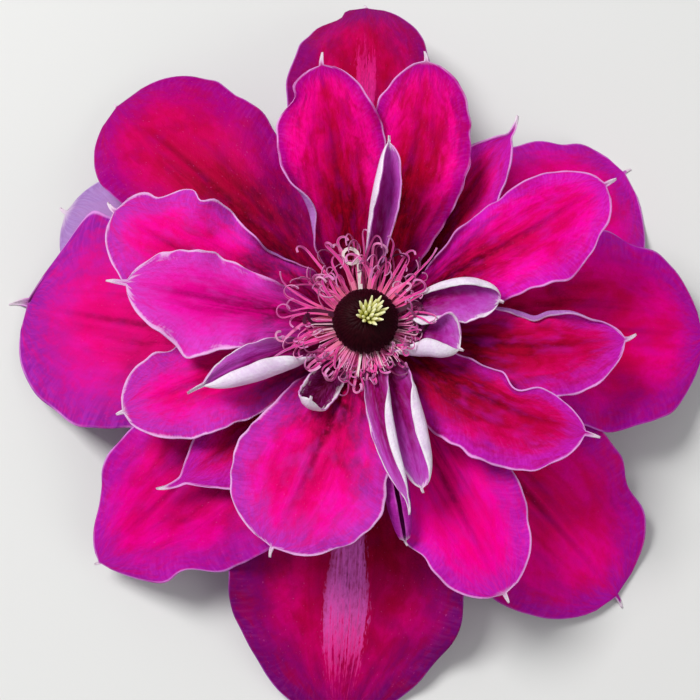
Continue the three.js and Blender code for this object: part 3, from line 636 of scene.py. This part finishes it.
def tissue(name, sheen=0.14, **values):
    """A velvety petal surface with the shared pattern in this petal's own colours."""
    material, tree, shader = new_finish(name, 0.55, 0.02)
    shader["Sheen Weight"].default_value = sheen
    shader["Sheen Roughness"].default_value = 0.4
    shader["Sheen Tint"].default_value = (0.9, 0, 0.6, 1)
    face = tree.nodes.new("ShaderNodeGroup")
    face.node_tree = pattern
    for key, value in values.items():
        if isinstance(value, tuple):
            value = (*value, 1)
        face.inputs[key.replace("_", " ").title()].default_value = value
    relief = add_node(tree, "Bump", "Normal", {"Strength": 0.6, "Distance": 0.25 * MM,
                                               "Height": face.outputs["Height"]})
    feed(tree, shader["Base Color"], face.outputs["Color"])
    feed(tree, shader["Normal"], relief)
    return material


# In the faces below, base colours the dark streaks, veins, foot and midrib, and base_reach sets how far the
# foot's painted shade reaches.
PALE_BACK = dict(middle=(0.42, 0.13, 0.4), body=(0.5, 0.2, 0.52), flank=(0.42, 0.13, 0.5),
    base=(0.3, 0.22, 0.12), vein=(0.62, 0.4, 0.66), rim=(0.8, 0.5, 0.78))
rim_tissue = tissue("petal_rim", middle=(0.6, 0.1, 0.5), body=(0.82, 0.36, 0.76), flank=(0.76, 0.28, 0.72),
    base=(0.3, 0.02, 0.1), rim=(0.8, 0.32, 0.76), base_reach=0.6)
sepal_rim = tissue("sepal_rim", middle=(0.6, 0.1, 0.58), body=(0.6, 0.1, 0.58), flank=(0.58, 0.1, 0.58),
    base=(0.3, 0.02, 0.1), rim=(0.6, 0.12, 0.6))
sepal_back = tissue("sepal_back", seed=4, bar=0.16, **PALE_BACK)
sepal_face = tissue("sepal_face", middle=(0.76, 0, 0.08), body=(0.98, 0, 0.31), flank=(0.46, 0.004, 0.38),
    flank_width=5.5, base_reach=0.68, rim_width=0.4, rim=(0.6, 0.14, 0.6), vein=(0.6, 0.06, 0.6),
    tip_from=0.988, comb=0.18)
northwest_face = tissue("sepal_northwest_face", seed=16, middle=(0.46, 0, 0.04), body=(0.64, 0, 0.12),
    flank=(0.33, 0, 0.2), flank_width=7.5, base_reach=0.72, rim_width=0.35, rim=(0.6, 0.14, 0.6),
    tip_from=0.988, comb=0.1)
pink_face = tissue("sepal_pink_face", seed=17, middle=(0.7, 0, 0.12), body=(0.88, 0, 0.3),
    flank=(0.44, 0.008, 0.38), flank_width=5.5, base_reach=0.88, rim_width=0.5, rim=(0.7, 0.24, 0.72),
    tip_from=0.988, comb=0.2)
west_face = tissue("sepal_west_face", seed=11, middle=(0.78, 0, 0.16), body=(0.84, 0.005, 0.32),
    flank=(0.3, 0.014, 0.34), flank_width=9.5, base_reach=0.7, rim_width=0.6, rim=(0.74, 0.3, 0.76),
    tip_from=0.93, comb=0.22)
south_face = tissue("sepal_south_face", seed=2, middle=(0.38, 0, 0.03), body=(0.66, 0, 0.15),
    flank=(0.17, 0.002, 0.14), flank_width=8, base_reach=0.6, rim_width=0.3, rim=(0.4, 0.08, 0.45),
    tip_from=0.988, vein=(0.84, 0.14, 0.66), bar=0.2, bar_from=0.4, bar_to=0.86, comb=0.06)
north_face = tissue("sepal_north_face", seed=3, middle=(0.36, 0, 0.02), body=(0.62, 0, 0.1),
    flank=(0.24, 0.003, 0.16), flank_width=6, base_reach=0.5, rim_width=0.35, rim=(0.55, 0.14, 0.55),
    tip_from=0.988, vein=(0.78, 0.03, 0.32), bar=0.14, bar_from=0.5, bar_to=0.8, comb=0.1)
faded_face = tissue("sepal_faded_face", seed=5, middle=(0.45, 0.22, 0.5), body=(0.45, 0.24, 0.56),
    flank=(0.4, 0.22, 0.56), vein=(0.6, 0.42, 0.7), rim=(0.62, 0.45, 0.72))
FACES = {"sepal_faded": faded_face, "sepal_south": south_face, "sepal_north": north_face,
    "sepal_west": west_face, "sepal_northwest": northwest_face, "sepal_northeast": pink_face,
    "sepal_southwest": pink_face}
for entry in SEPALS:
    front = FACES.get(entry["name"], sepal_face)
    blade = grow(entry, 10, 9, 84, 57, (front, sepal_back, sepal_rim))

# The petals: thirteen narrower blades in three layers over the sepals, brighter than they are, with
# a clear pale rim, ruffled margins and white pointed tips. One to the south is rolled into a tube.
PETAL_PLAIN = dict(cup=(50, 20, 0))
PETALS = [
    shaped("petal_northwest_low", 155, 54, 25, 0.62, 0.46, level=3.4, swerve=-22, pitch=(24, 8, -12),
        tip=2.5, wave=(2, 4, 2), left=1.05,
        nicks=[(-1, 0.85, 0.035, 0.2), (-1, 0.68, 0.035, 0.14), (-1, 0.4, 0.12, 0.25)],
        hems=[(-1, 0.34, 0.14, 150, 0.8)]),
    shaped("petal_northeast_low", 52, 48, 18, level=3.4, pitch=(30, 16, 8), cup=(80, 120, 90), tip=4,
        wave=(0.8, 2, 0)),
    shaped("petal_southwest_low", -140, 48, 17, fullness=0.8, level=3.4, swerve=-14, pitch=(20, 4, -10),
        tip=5, wave=(1.2, 3, 3), left=1.35),
    shaped("petal_southeast_low", -63, 57, 25, 0.64, 0.48, level=3.4, swerve=4, pitch=(20, 4, -16),
        wave=(1.6, 3.5, 1), nicks=[(-1, 0.72, 0.05, 0.12)]),
    shaped("petal_north_east", 76.5, 52, 20, 0.64, 0.5, level=4.5, swerve=20, pitch=(36, 20, 6),
        cup=(60, 20, 0), wave=(1.4, 3, 2), right=1.1),
    shaped("petal_west_low", 201, 48, 20, 0.62, 0.46, level=4.5, pitch=(26, 8, -10), tip=1.5,
        wave=(1.6, 3, 4), left=1.05, nicks=[(-1, 0.7, 0.05, 0.2)]),
    shaped("petal_east", -4, 50, 20, 0.6, 0.58, level=4.5, swerve=30, pitch=(26, 10, -6), cup=(50, 30, 10),
        tip=2.5, wave=(1.8, 3, 0), left=0.9, right=1.15,
        nicks=[(1, 0.6, 0.05, 0.22), (1, 0.82, 0.05, 0.1)], curls=[(1, 0.62, 0.3, 80, 0.62)],
        hems=[(1, 0.62, 0.33, 150, 0.72)]),
    shaped("petal_south_rolled", -80, 40, 15, 0.6, 0.4, level=4.5, pitch=(20, 4, -8), cup=(120, 260, 300),
        tip=1, wave=(0, 2, 3), hems=[(1, 0.5, 0.5, 42, 0), (-1, 0.5, 0.5, 36, 0)]),
    shaped("petal_north", 100, 50.5, 22, 0.64, 0.5, level=5.6, swerve=-6, pitch=(40, 22, 8),
        cup=(60, 20, 0), tip=2.5, wave=(1.5, 3, 5), curls=[(1, 0.42, 0.12, 180, 0.5)], right=0.92,
        nicks=[(1, 0.84, 0.035, 0.25)]),
    shaped("petal_northeast", 28.5, 53, 23, 0.68, 0.5, level=5.6, swerve=8, pitch=(34, 14, 0), tip=2.5,
        wave=(1.6, 3, 2), left=0.78, right=0.98,
        nicks=[(-1, 0.66, 0.05, -0.12), (-1, 0.82, 0.06, 0.1), (1, 0.6, 0.05, 0.1)],
        hems=[(1, 0.3, 0.14, 120, 0.75)]),
    shaped("petal_southeast", -28, 48, 19, 0.62, 0.54, level=5.6, swerve=34, pitch=(30, 12, -6), tip=3,
        wave=(1.6, 3, 3), left=0.72, right=1.25, nicks=[(1, 0.62, 0.06, 0.5)],
        hems=[(1, 0.42, 0.16, 140, 0.78)]),
    shaped("petal_south", -112, 46.5, 29, 0.68, 0.46, level=5.6, swerve=-14, pitch=(30, 8, -20),
        cup=(50, 16, -10), wave=(1.2, 3, 0), left=1.08, nicks=[(1, 0.86, 0.06, 0.1)]),
    shaped("petal_west", 172.5, 48, 20, 0.64, 0.54, level=5.6, swerve=-8, pitch=(34, 16, -2), tip=4,
        wave=(1.2, 2.5, 1), right=0.93, nicks=[(-1, 0.36, 0.14, 0.25), (1, 0.62, 0.08, -0.2)]),
]
petal_back = tissue("petal_back", seed=6, bar=0.16, **PALE_BACK)
petal_face = tissue("petal_face", seed=1, flank_width=3.2, base_reach=0.8, frost=0.2)
bright_face = tissue("petal_bright_face", seed=12, middle=(0.82, 0, 0.14), body=(0.96, 0.002, 0.38),
    flank=(0.5, 0.03, 0.46), flank_width=4.6, base_reach=0.8, frost=0.45, rim=(0.84, 0.44, 0.8))
south_petal_face = tissue("petal_south_face", seed=18, middle=(0.92, 0, 0.2), body=(0.98, 0, 0.36),
    flank_width=4, base_reach=0.34, frost=0.25)
rolled_face = tissue("petal_rolled_face", seed=13, middle=(0.3, 0, 0.16), body=(0.38, 0.005, 0.26),
    flank=(0.42, 0.02, 0.36), rim=(0.6, 0.1, 0.5), base_reach=0.2)
north_petal_face = tissue("petal_north_face", seed=14, middle=(0.5, 0, 0.025), body=(0.95, 0, 0.26),
    flank=(0.44, 0, 0.26), flank_width=2.4, base_reach=0.82, comb=0.16)
northeast_petal_face = tissue("petal_northeast_face", seed=19, middle=(0.7, 0, 0.09), body=(0.96, 0, 0.36),
    flank=(0.66, 0.01, 0.5), flank_width=3, base_reach=0.72)
shaded_face = tissue("petal_shaded_face", seed=15, middle=(0.44, 0, 0.03), body=(0.68, 0, 0.13),
    flank_width=3, base_reach=0.8, comb=0.2, frost=0.3)
frosted_face = tissue("petal_frosted_face", seed=7, middle=(0.8, 0, 0.26), body=(0.92, 0.01, 0.46),
    flank=(0.7, 0.05, 0.56), flank_width=4.5, rim=(0.85, 0.45, 0.8), rim_width=0.6, frost=1.4,
    base_reach=0.55)
PETAL_FACES = {"petal_west": frosted_face, "petal_west_low": bright_face, "petal_south": bright_face,
    "petal_southeast_low": south_petal_face, "petal_northwest_low": bright_face,
    "petal_south_rolled": rolled_face, "petal_north": north_petal_face,
    "petal_north_east": north_petal_face, "petal_northeast": northeast_petal_face,
    "petal_east": shaded_face, "petal_southeast": shaded_face}
for entry in PETALS:
    front = PETAL_FACES.get(entry["name"], petal_face)
    others = (rolled_face, sepal_rim) if front is rolled_face else (petal_back, rim_tissue)
    blade = grow(PETAL_PLAIN | entry, 9, 9, 76, 49, (front, *others))

# The inner petals: seven small petals round the middle, folded or rolled so that their pale lavender
# to white backs show, with hardly any of the magenta face.
INNER_PLAIN = dict(claw=2, crimp=0.12)
INNER_PETALS = [
    shaped("inner_north", 82, 34, 11, 0.7, 0.6, level=7.4, pitch=(44, 36, 20), cup=(40, 230, 200), tip=1.5,
        wave=(0.3, 3, 0), roll=(0, 30)),
    shaped("inner_southeast", -73, 33, 15, 0.62, 0.55, level=7.4, swerve=-18, pitch=(20, 20, -8),
        cup=(16, 60, 60), tip=1, wave=(0.3, 2, 0), right=0.6, curls=[(1, 0.66, 0.34, 190, 0.12)]),
    shaped("inner_west", 204, 34, 20, 0.66, 0.8, level=7.4, pitch=(34, 14, -6), cup=(40, 50, 50), tip=3.5,
        wave=(0.5, 2, 0), right=0.38, curls=[(1, 0.66, 0.36, 180, 0.05)], hems=[(1, 0.62, 0.4, 55, 0.1)]),
    shaped("inner_east_high", 6, 24.5, 12, 0.7, 0.6, level=8.5, swerve=-50, pitch=(36, 18, -30),
        cup=(40, 60, 50), tip=1, wave=(0.5, 2, 0), curls=[(1, 0.6, 0.6, 190, 0.15)]),
    shaped("inner_east_low", -22, 17, 20, 0.66, 0.5, level=8.5, pitch=(29, 28, 20), cup=(20, 45, 60), tip=1,
        wave=(1, 2.5, 1), left=0.8, right=0.9,
        curls=[(-1, 0.74, 0.38, 220, 0.05), (1, 0.5, 0.24, 200, 0.2)]),
    shaped("inner_southwest", -121, 23, 7.6, 0.6, 0.5, level=8.5, pitch=(6, 12, 150), cup=(20, 90, 110),
        tip=0.8, wave=(0.3, 2, 0)),
    shaped("inner_south", -77.5, 36, 10, fullness=0.7, level=8.5, swerve=24, pitch=(20, 14, -4),
        cup=(16, 50, 50), tip=3, wave=(0.3, 2, 0), right=0.5, curls=[(1, 0.62, 0.36, 200, 0.05)]),
]
inner_face = tissue("inner_face", seed=8, middle=(0.44, 0.01, 0.3), body=(0.54, 0.08, 0.54),
    flank=(0.58, 0.16, 0.62), flank_width=1.6, rim=(0.92, 0.78, 0.9), frost=0.8, base=(0.2, 0, 0.03),
    base_reach=0.85)
# The cupped inner petal's near-black face is painted shade inside its hollow; its wide pale frost is the
# margin's own colour.
hollow_face = tissue("inner_hollow_face", seed=10, middle=(0.07, 0, 0.014), body=(0.13, 0, 0.04),
    flank=(0.3, 0.04, 0.2), flank_width=1, rim=(0.94, 0.84, 0.92), frost=1.1)
inner_back = tissue("inner_back", seed=9, middle=(0.72, 0.46, 0.76), body=(0.84, 0.68, 0.88),
    flank=(0.9, 0.82, 0.92), base=(0.5, 0.16, 0.3), vein=(0.92, 0.88, 0.94), rim=(0.95, 0.9, 0.95),
    sheen=0.1, flank_width=1.5, rib=0, base_reach=0.2)
for entry in INNER_PETALS:
    front = hollow_face if entry["name"] == "inner_southwest" else inner_face
    blade = grow(INNER_PLAIN | entry, 7, 7, 60, 37, (front, inner_back, rim_tissue))

# The filaments: flat twisted ribbons of pink tissue, rooted in a felted collar under the dome, that
# spread over the petals and curl at their pale ends.
COLUMN_TOP = 30.5
COLLAR_RADIUS = 5.3
COLLAR_HEIGHT = 1.3
COLLAR_SINK = 0.3
HEAD_DRIFT = -1.3
ROOT_RADIUS = 3.6
STRANDS = 165
LONGEST_TOWARDS = math.radians(130)
FRINGE = 60
FRINGE_FROM = math.radians(175)
FRINGE_SPREAD = math.radians(190)
STRAND_ROWS = 26
CURL_ROWS = 11
SHORTEST_PATH = 8
STRAND_CLEARANCE = 0.3
STEEPEST_FALL = 0.4
STEEPEST_RISE = 0.8
DEEPEST_BURIED = 2.6
RIBBON = 0.16
UPWARD = np.array([0, 0, 1])
random = np.random.default_rng(11)
heights_now = nearby_heights()


def strand_path(heading, reach, start, lift, sway):
    """The points of one strand, from inside the collar outwards, clear of what lies below it."""
    points = []
    z = start
    for k in range(STRAND_ROWS):
        part = k / (STRAND_ROWS - 1)
        out = ROOT_RADIUS + (reach + 1.4) * part
        turn = heading + 0.2 * sway * part**2
        x, y = out * math.cos(turn), out * math.sin(turn)
        cell = cells(np.array([x, y + HEAD_DRIFT]))
        below = heights_now[cell[0], cell[1]] + STRAND_CLEARANCE
        wanted = start + lift * (out - ROOT_RADIUS)
        z = max(wanted, z - STEEPEST_FALL) if below < z else min(z + STEEPEST_RISE, max(below, wanted))
        if below - z > DEEPEST_BURIED:
            break
        points.append((x, y, z))
    return np.array(points)


def unit(rows):
    """Directions of length one."""
    return rows / (np.linalg.norm(rows, axis=-1, keepdims=True) + 1e-9)


def head_copy(model, points):
    """A copy of a small piece, reshaped to points in millimetres from the middle of the head."""
    copy = model.copy()
    copy.data = model.data.copy()
    bpy.context.collection.objects.link(copy)
    points = (points + [axis_x / MM, axis_y / MM + HEAD_DRIFT, 0]) * MM
    copy.data.vertices.foreach_set("co", points.ravel())
    return copy


def join_into(first, others):
    """One object made of the first piece and all the others."""
    bpy.ops.object.select_all(action="DESELECT")
    for piece in (first, *others):
        piece.select_set(True)
    bpy.context.view_layer.objects.active = first
    bpy.ops.object.join()
    return first


# Heading, reach, turn of the curl in degrees, its length, half its width and its tone for the strands
# that stand out: white curls to the north, dark loose anthers beside the dome, pale straight ones.
MARKED_STRANDS = [
    (96, 8.5, 330, 9.0, 0.42, 1.3), (108, 10.0, 150, 3.5, 0.3, 0.9), (84, 9.0, -200, 5.0, 0.26, 0.9),
    (165, 4.2, 120, 5.0, 0.42, 0.0), (183, 4.0, -100, 4.0, 0.4, 0.0), (20, 4.2, -130, 4.5, 0.42, 0.0),
    (-12, 4.4, 90, 4.0, 0.4, 0.0), (200, 9.0, 30, 7.0, 0.28, 0.8), (-98, 4.8, 12, 1.2, 0.17, 1.2),
    (128, 13.0, 160, 5.0, 0.24, 0.8), (60, 10.5, -150, 3.5, 0.24, 0.8), (45, 11.5, 40, 4.0, 0.22, 0.8),
    (218, 8.0, 200, 5.5, 0.3, 0.9), (-120, 7.5, -220, 4.5, 0.3, 0.9), (-100, 8.0, 240, 4.0, 0.26, 0.9),
]
bpy.ops.mesh.primitive_grid_add(x_subdivisions=STRAND_ROWS - 1, y_subdivisions=2, size=2)
pattern_strand = bpy.context.object
grid_places = mesh_places(pattern_strand)
strand_row = np.round((grid_places[:, 0] + 1) / 2 * (STRAND_ROWS - 1)).astype(int)
strand_side = np.round(grid_places[:, 1])
corner = loop_corners(pattern_strand.data)
t = np.linspace(0, 1, STRAND_ROWS)
u = (np.arange(1, CURL_ROWS + 1) / CURL_ROWS)[:, None]
strands = []
for i in range(STRANDS + FRINGE + len(MARKED_STRANDS)):
    if i < STRANDS:
        heading = 2 * math.pi * (i + 0.8 * random.random()) / STRANDS
        longer = 1 + 0.3 * math.cos(heading - LONGEST_TOWARDS)
        reach = (3.2 + 6.2 * random.random() ** 1.2) * longer
        curve = random.choice([-1, 1]) * (60 + 220 * random.random())
        curl_length = (2.2 + 2.8 * random.random()) * longer
        wide = 0.15 + 0.2 * random.random() ** 2
        tone = random.random() ** 0.8
    elif i < STRANDS + FRINGE:
        heading = FRINGE_FROM + FRINGE_SPREAD * (i - STRANDS + random.random()) / FRINGE
        reach, curve, curl_length = 3.4 + 1.6 * random.random(), 40 * random.normal(), 0.9
        wide, tone = 0.08 + 0.05 * random.random(), 0.95 + 0.17 * random.random()
    else:
        heading, reach, curve, curl_length, wide, tone = MARKED_STRANDS[i - STRANDS - FRINGE]
        heading = math.radians(heading)
    start = COLUMN_TOP + 0.2 + COLLAR_HEIGHT * (0.2 + 0.6 * random.random())
    if i >= STRANDS:
        start += 0.9
    sway = random.normal() * (i < STRANDS)
    path = strand_path(heading, reach, start, 0.3 * random.random() ** 2, sway)
    if len(path) < SHORTEST_PATH:
        continue
    places = np.linspace(0, len(path) - 1, STRAND_ROWS - CURL_ROWS)
    path = np.stack([np.interp(places, np.arange(len(path)), path[:, k]) for k in range(3)], axis=1)
    for _ in range(3):
        path[1:-1] = (path[:-2] + 2 * path[1:-1] + path[2:]) / 4
    onward = unit(path[-1] - path[-2])
    beside = unit(np.cross(UPWARD, onward))
    tilt = math.radians(15 + 55 * random.random())
    aim = beside * math.copysign(math.cos(tilt), curve) + np.cross(onward, beside) * math.sin(tilt)
    bow = math.radians(abs(curve))
    tightness = curl_length / bow
    curl = path[-1] + onward * tightness * np.sin(bow * u) + aim * tightness * (1 - np.cos(bow * u))
    path = np.concatenate([path, curl])
    tangent = unit(np.gradient(path, axis=0))
    across = unit(np.cross(UPWARD, tangent))
    up = np.cross(tangent, across)
    twist = (random.normal() * (i < STRANDS) * 1.2 * t**1.5)[:, None]
    flat = across * np.cos(twist) + up * np.sin(twist)
    width = (wide * (0.6 + 1.2 * (1 - t) ** 1.5 + 0.2 * (t > 0.9)))[:, None]
    strand = head_copy(pattern_strand, path[strand_row]
                       + flat[strand_row] * width[strand_row] * strand_side[:, None])
    mark_points(strand.data, tone=np.full(len(strand_side), tone), edge=np.abs(strand_side))
    uv = np.stack([t[strand_row[corner]], strand_side[corner] / 2 + 0.5 + 3 * i], axis=1)
    strand.data.uv_layers[0].data.foreach_set("uv", uv.ravel())
    strands.append(strand)
bpy.data.objects.remove(pattern_strand)
collar_middle = (COLUMN_TOP + COLLAR_SINK + COLLAR_HEIGHT / 2) * MM
bpy.ops.mesh.primitive_cylinder_add(vertices=64, radius=COLLAR_RADIUS * MM, depth=COLLAR_HEIGHT * MM,
                                    location=(axis_x, axis_y + HEAD_DRIFT * MM, collar_middle))
collar = bpy.context.object
bpy.ops.object.transform_apply(location=True, rotation=True, scale=True)
filaments = join_into(strands[0], strands[1:])
filaments.name = "filament_ribbons"
body = filaments.modifiers.new("ribbon", "SOLIDIFY")
body.thickness = RIBBON * MM
body.offset = 0
bpy.ops.object.modifier_apply(modifier=body.name)
join_into(filaments, [collar])
bpy.ops.object.shade_smooth_by_angle(angle=math.radians(50))

ribbon, tree, shader = new_finish("filament_tissue", 0.5, 0.15)
uv = add_node(tree, "UVMap", "UV")
lengthwise = add_node(tree, "Mapping", "Vector", {"Vector": uv, "Scale": (2.5, 4, 1)})
stripes = add_node(tree, "TexNoise", "Fac", {"Vector": lengthwise, "Scale": 2.2, "Detail": 3})
outward = add_node(tree, "SeparateXYZ", "X", {"Vector": uv})
tone, edge = (add_node(tree, "Attribute", "Fac", attribute_name=label) for label in ("tone", "edge"))


def shades(root, end, **stops):
    """The colours along a strand: at its root, at its end, and at hundredths of the way between."""
    made = add_node(tree, "ValToRGB", "Color", {"Fac": outward})
    elements = made.node.color_ramp.elements
    elements[0].color, elements[1].color = root, end
    for place, color in stops.items():
        elements.new(int(place[2:]) / 100).color = color
    return made


flesh = shades((0.5, 0.12, 0.12, 1), (0.75, 0.2, 0.55, 1), at12=(0.86, 0.12, 0.26, 1),
               at40=(0.95, 0.06, 0.38, 1), at70=(0.66, 0.03, 0.32, 1))
pale = shades((0.7, 0.3, 0.26, 1), (0.9, 0.52, 0.74, 1), at40=(0.94, 0.2, 0.5, 1))
color = flesh
for value, low, high, over in ((edge, 0.4, 1.4, pale), (tone, 0.85, 0.95, pale),
                               (tone, 0.35, 0.05, (0.07, 0.003, 0.03, 1)),
                               (tone, 1.0, 1.2, (0.92, 0.8, 0.78, 1)),
                               (stripes, 0.52, 0.75, (0.12, 0.005, 0.04, 1))):
    color = mixed(tree, between(tree, value, low, high), color, over)
feed(tree, shader["Base Color"], color)
filaments.data.materials.clear()
filaments.data.materials.append(ribbon)
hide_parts("filaments")
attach(filaments, "root")
filaments.select_set(False)

# The dome: a ball of dark anthers, packed side by side with their tips bent over towards the top,
# round a cone that carries them. All are one dark maroon mass.
DOME_RADIUS = 6.6
DOME_RISE = 6.4
DOME_SINK = 1.4
ANTHERS = 190
ANTHER_SIZE = (0.42, 0.5, 1.75)
NEXT_TURN = math.radians(137.5)
dome_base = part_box("anther_dome")[0].z / MM
maroon, tree, shader = new_finish("anther_maroon", 0.5, 0.06)
place = add_node(tree, "TexCoord", "Object")
mottle = add_node(tree, "TexNoise", "Fac", {"Vector": place, "Scale": 900, "Detail": 3})
feed(tree, shader["Base Color"], mixed(tree, mottle, (0.005, 0, 0.001, 1), (0.035, 0.001, 0.005, 1)))


def edit_whole(operator, **values):
    """Runs one edit mode operator on the whole of the active mesh."""
    bpy.ops.object.mode_set(mode="EDIT")
    bpy.ops.mesh.select_all(action="SELECT")
    operator(**values)
    bpy.ops.object.mode_set(mode="OBJECT")


def turned(points, angle, first, second):
    """Points turned about the third axis, from the first towards the second."""
    a, b = points[:, first].copy(), points[:, second].copy()
    points[:, first] = a * math.cos(angle) - b * math.sin(angle)
    points[:, second] = a * math.sin(angle) + b * math.cos(angle)
    return points


bpy.ops.mesh.primitive_uv_sphere_add(segments=10, ring_count=8, radius=1)
pattern_anther = bpy.context.object
edit_whole(bpy.ops.transform.resize, value=ANTHER_SIZE)
anther_points = mesh_places(pattern_anther)
anthers = []
for i in range(ANTHERS):
    polar = math.radians(4 + 62 * ((i + 0.5) / ANTHERS) ** 0.85)
    lean = polar + math.radians(6 + 10 * random.random())
    spun = anther_points.copy()
    spun[:, 0] -= 0.1 * spun[:, 2] ** 2
    spun = turned(spun, lean, 0, 2) + [DOME_RADIUS * 0.9 * math.cos(polar), 0,
                                       dome_base + DOME_SINK + DOME_RISE * 0.72 * math.sin(polar)]
    anthers.append(head_copy(pattern_anther, turned(spun, i * NEXT_TURN, 0, 1)))
bpy.data.objects.remove(pattern_anther)
bpy.ops.mesh.primitive_uv_sphere_add(segments=40, ring_count=20, radius=DOME_RADIUS * 0.86 * MM,
                                     location=(axis_x, axis_y + HEAD_DRIFT * MM,
                                               (dome_base + DOME_SINK) * MM))
core = bpy.context.object
core.scale = (1, 1, 0.8)
bpy.ops.object.transform_apply(location=True, rotation=True, scale=True)
edit_whole(bpy.ops.mesh.bisect, plane_co=(0, 0, (dome_base + 0.1) * MM), plane_no=(0, 0, 1),
           use_fill=True, clear_inner=True)
dome = join_into(core, anthers)
dome.name = "anther_ball"
bpy.ops.object.shade_smooth()
dome.data.materials.clear()
dome.data.materials.append(maroon)
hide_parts("anther_dome")
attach(dome, "root")
dome.select_set(False)

# The styles: a tuft of short cream-yellow fingers, green where they are bunched together, that leans
# a little to the upper right as it leaves the dome's top.
STYLES = 26
TUFT_LEAN = np.array([0.8, 0.4, 0])
tuft_low, tuft_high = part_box("stigma_tuft")
cream, tree, shader = new_finish("style_cream", 0.5, 0.5)
place = add_node(tree, "TexCoord", "Object")
height = add_node(tree, "SeparateXYZ", "Z", {"Vector": place})
ripeness = between(tree, height, tuft_high.z - 3.6 * MM, tuft_high.z - 0.8 * MM)
feed(tree, shader["Base Color"], mixed(tree, ripeness, (0.55, 0.55, 0.05, 1), (0.97, 0.94, 0.6, 1)))
bpy.ops.mesh.primitive_cylinder_add(vertices=8, radius=1, depth=2, end_fill_type="TRIFAN")
pattern_style = bpy.context.object
edit_whole(bpy.ops.mesh.subdivide, number_cuts=3)
style_points = mesh_places(pattern_style)
t = (style_points[:, 2:] + 1) / 2
thick = 0.24 + 0.1 * t + 0.08 * np.sin(math.pi * np.clip(t, 0, 1)) - 0.2 * np.clip((t - 0.9) / 0.1, 0, 1)
styles = []
for i in range(STYLES):
    share = math.sqrt((i + 0.5) / STYLES)
    tall = (tuft_high.z - tuft_low.z) / MM * (1 - 0.22 * random.random() - 0.12 * share)
    side = np.array([math.cos(i * NEXT_TURN), math.sin(i * NEXT_TURN), 0])
    bend = side * share * (1 + 2.2 * t**1.5) + [0.5, 0, 0] + TUFT_LEAN * t**1.3
    rise = UPWARD * (tuft_low.z / MM + 0.2 + 0.97 * tall * t)
    styles.append(head_copy(pattern_style, style_points * [1, 1, 0] * thick + bend + rise))
bpy.data.objects.remove(pattern_style)
tuft = join_into(styles[0], styles[1:])
tuft.name = "style_tuft"
bpy.ops.object.shade_smooth()
tuft.data.materials.append(cream)
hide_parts("stigma_tuft")
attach(tuft, "root")
tuft.select_set(False)

# The setting: a plain pale floor and soft light, with a large lamp to the upper left and a weaker
# one opposite. The camera looks down on the flower from the photograph's side.
bpy.context.scene.view_settings.view_transform = "Standard"
floor_paint, tree, shader = new_finish("pale_floor", 0.9, 0.5)
shader["Base Color"].default_value = (0.78, 0.78, 0.76, 1)
bpy.ops.mesh.primitive_plane_add(size=6, location=(0, 0, 0))
floor = bpy.context.object
floor.name = "floor"
floor.data.materials.append(floor_paint)
world = bpy.data.worlds.new("studio")
bpy.context.scene.world = world
world.use_nodes = True
sky = world.node_tree.nodes["Background"].inputs
sky["Color"].default_value = (0.95, 0.97, 1, 1)
sky["Strength"].default_value = 0.32
for name, spot, size, power in (("key", (-0.5, 0.35, 0.9), 0.4, 9.5), ("fill", (0.7, -0.5, 0.7), 0.8, 2)):
    lamp = bpy.data.objects.new(name, bpy.data.lights.new(name, "AREA"))
    lamp.data.size = size
    lamp.data.energy = power
    lamp.location = spot
    lamp.rotation_euler = (-Vector(spot)).to_track_quat("-Z", "Y").to_euler()
    bpy.context.collection.objects.link(lamp)

ELEVATION = math.radians(78)
DISTANCE = 330 * MM
LENS = 85
SENSOR = 36
PICTURE = 700
AIM_HEIGHT = 22 * MM
FLOWER_RIGHT_PX = 15
FLOWER_DOWN_PX = -22
pixel = DISTANCE / (LENS / SENSOR * PICTURE)
back = Vector((0, -math.cos(ELEVATION), math.sin(ELEVATION)))
right = Vector((1, 0, 0))
up = Vector((0, math.sin(ELEVATION), math.cos(ELEVATION)))
aim = Vector((axis_x, axis_y, AIM_HEIGHT)) - right * FLOWER_RIGHT_PX * pixel + up * FLOWER_DOWN_PX * pixel
camera_data = bpy.data.cameras.new("camera")
camera_data.lens = LENS
camera_data.sensor_width = SENSOR
camera = bpy.data.objects.new("camera", camera_data)
camera.location = aim + back * DISTANCE
camera.rotation_euler = back.to_track_quat("Z", "Y").to_euler()
bpy.context.collection.objects.link(camera)
bpy.context.scene.camera = camera
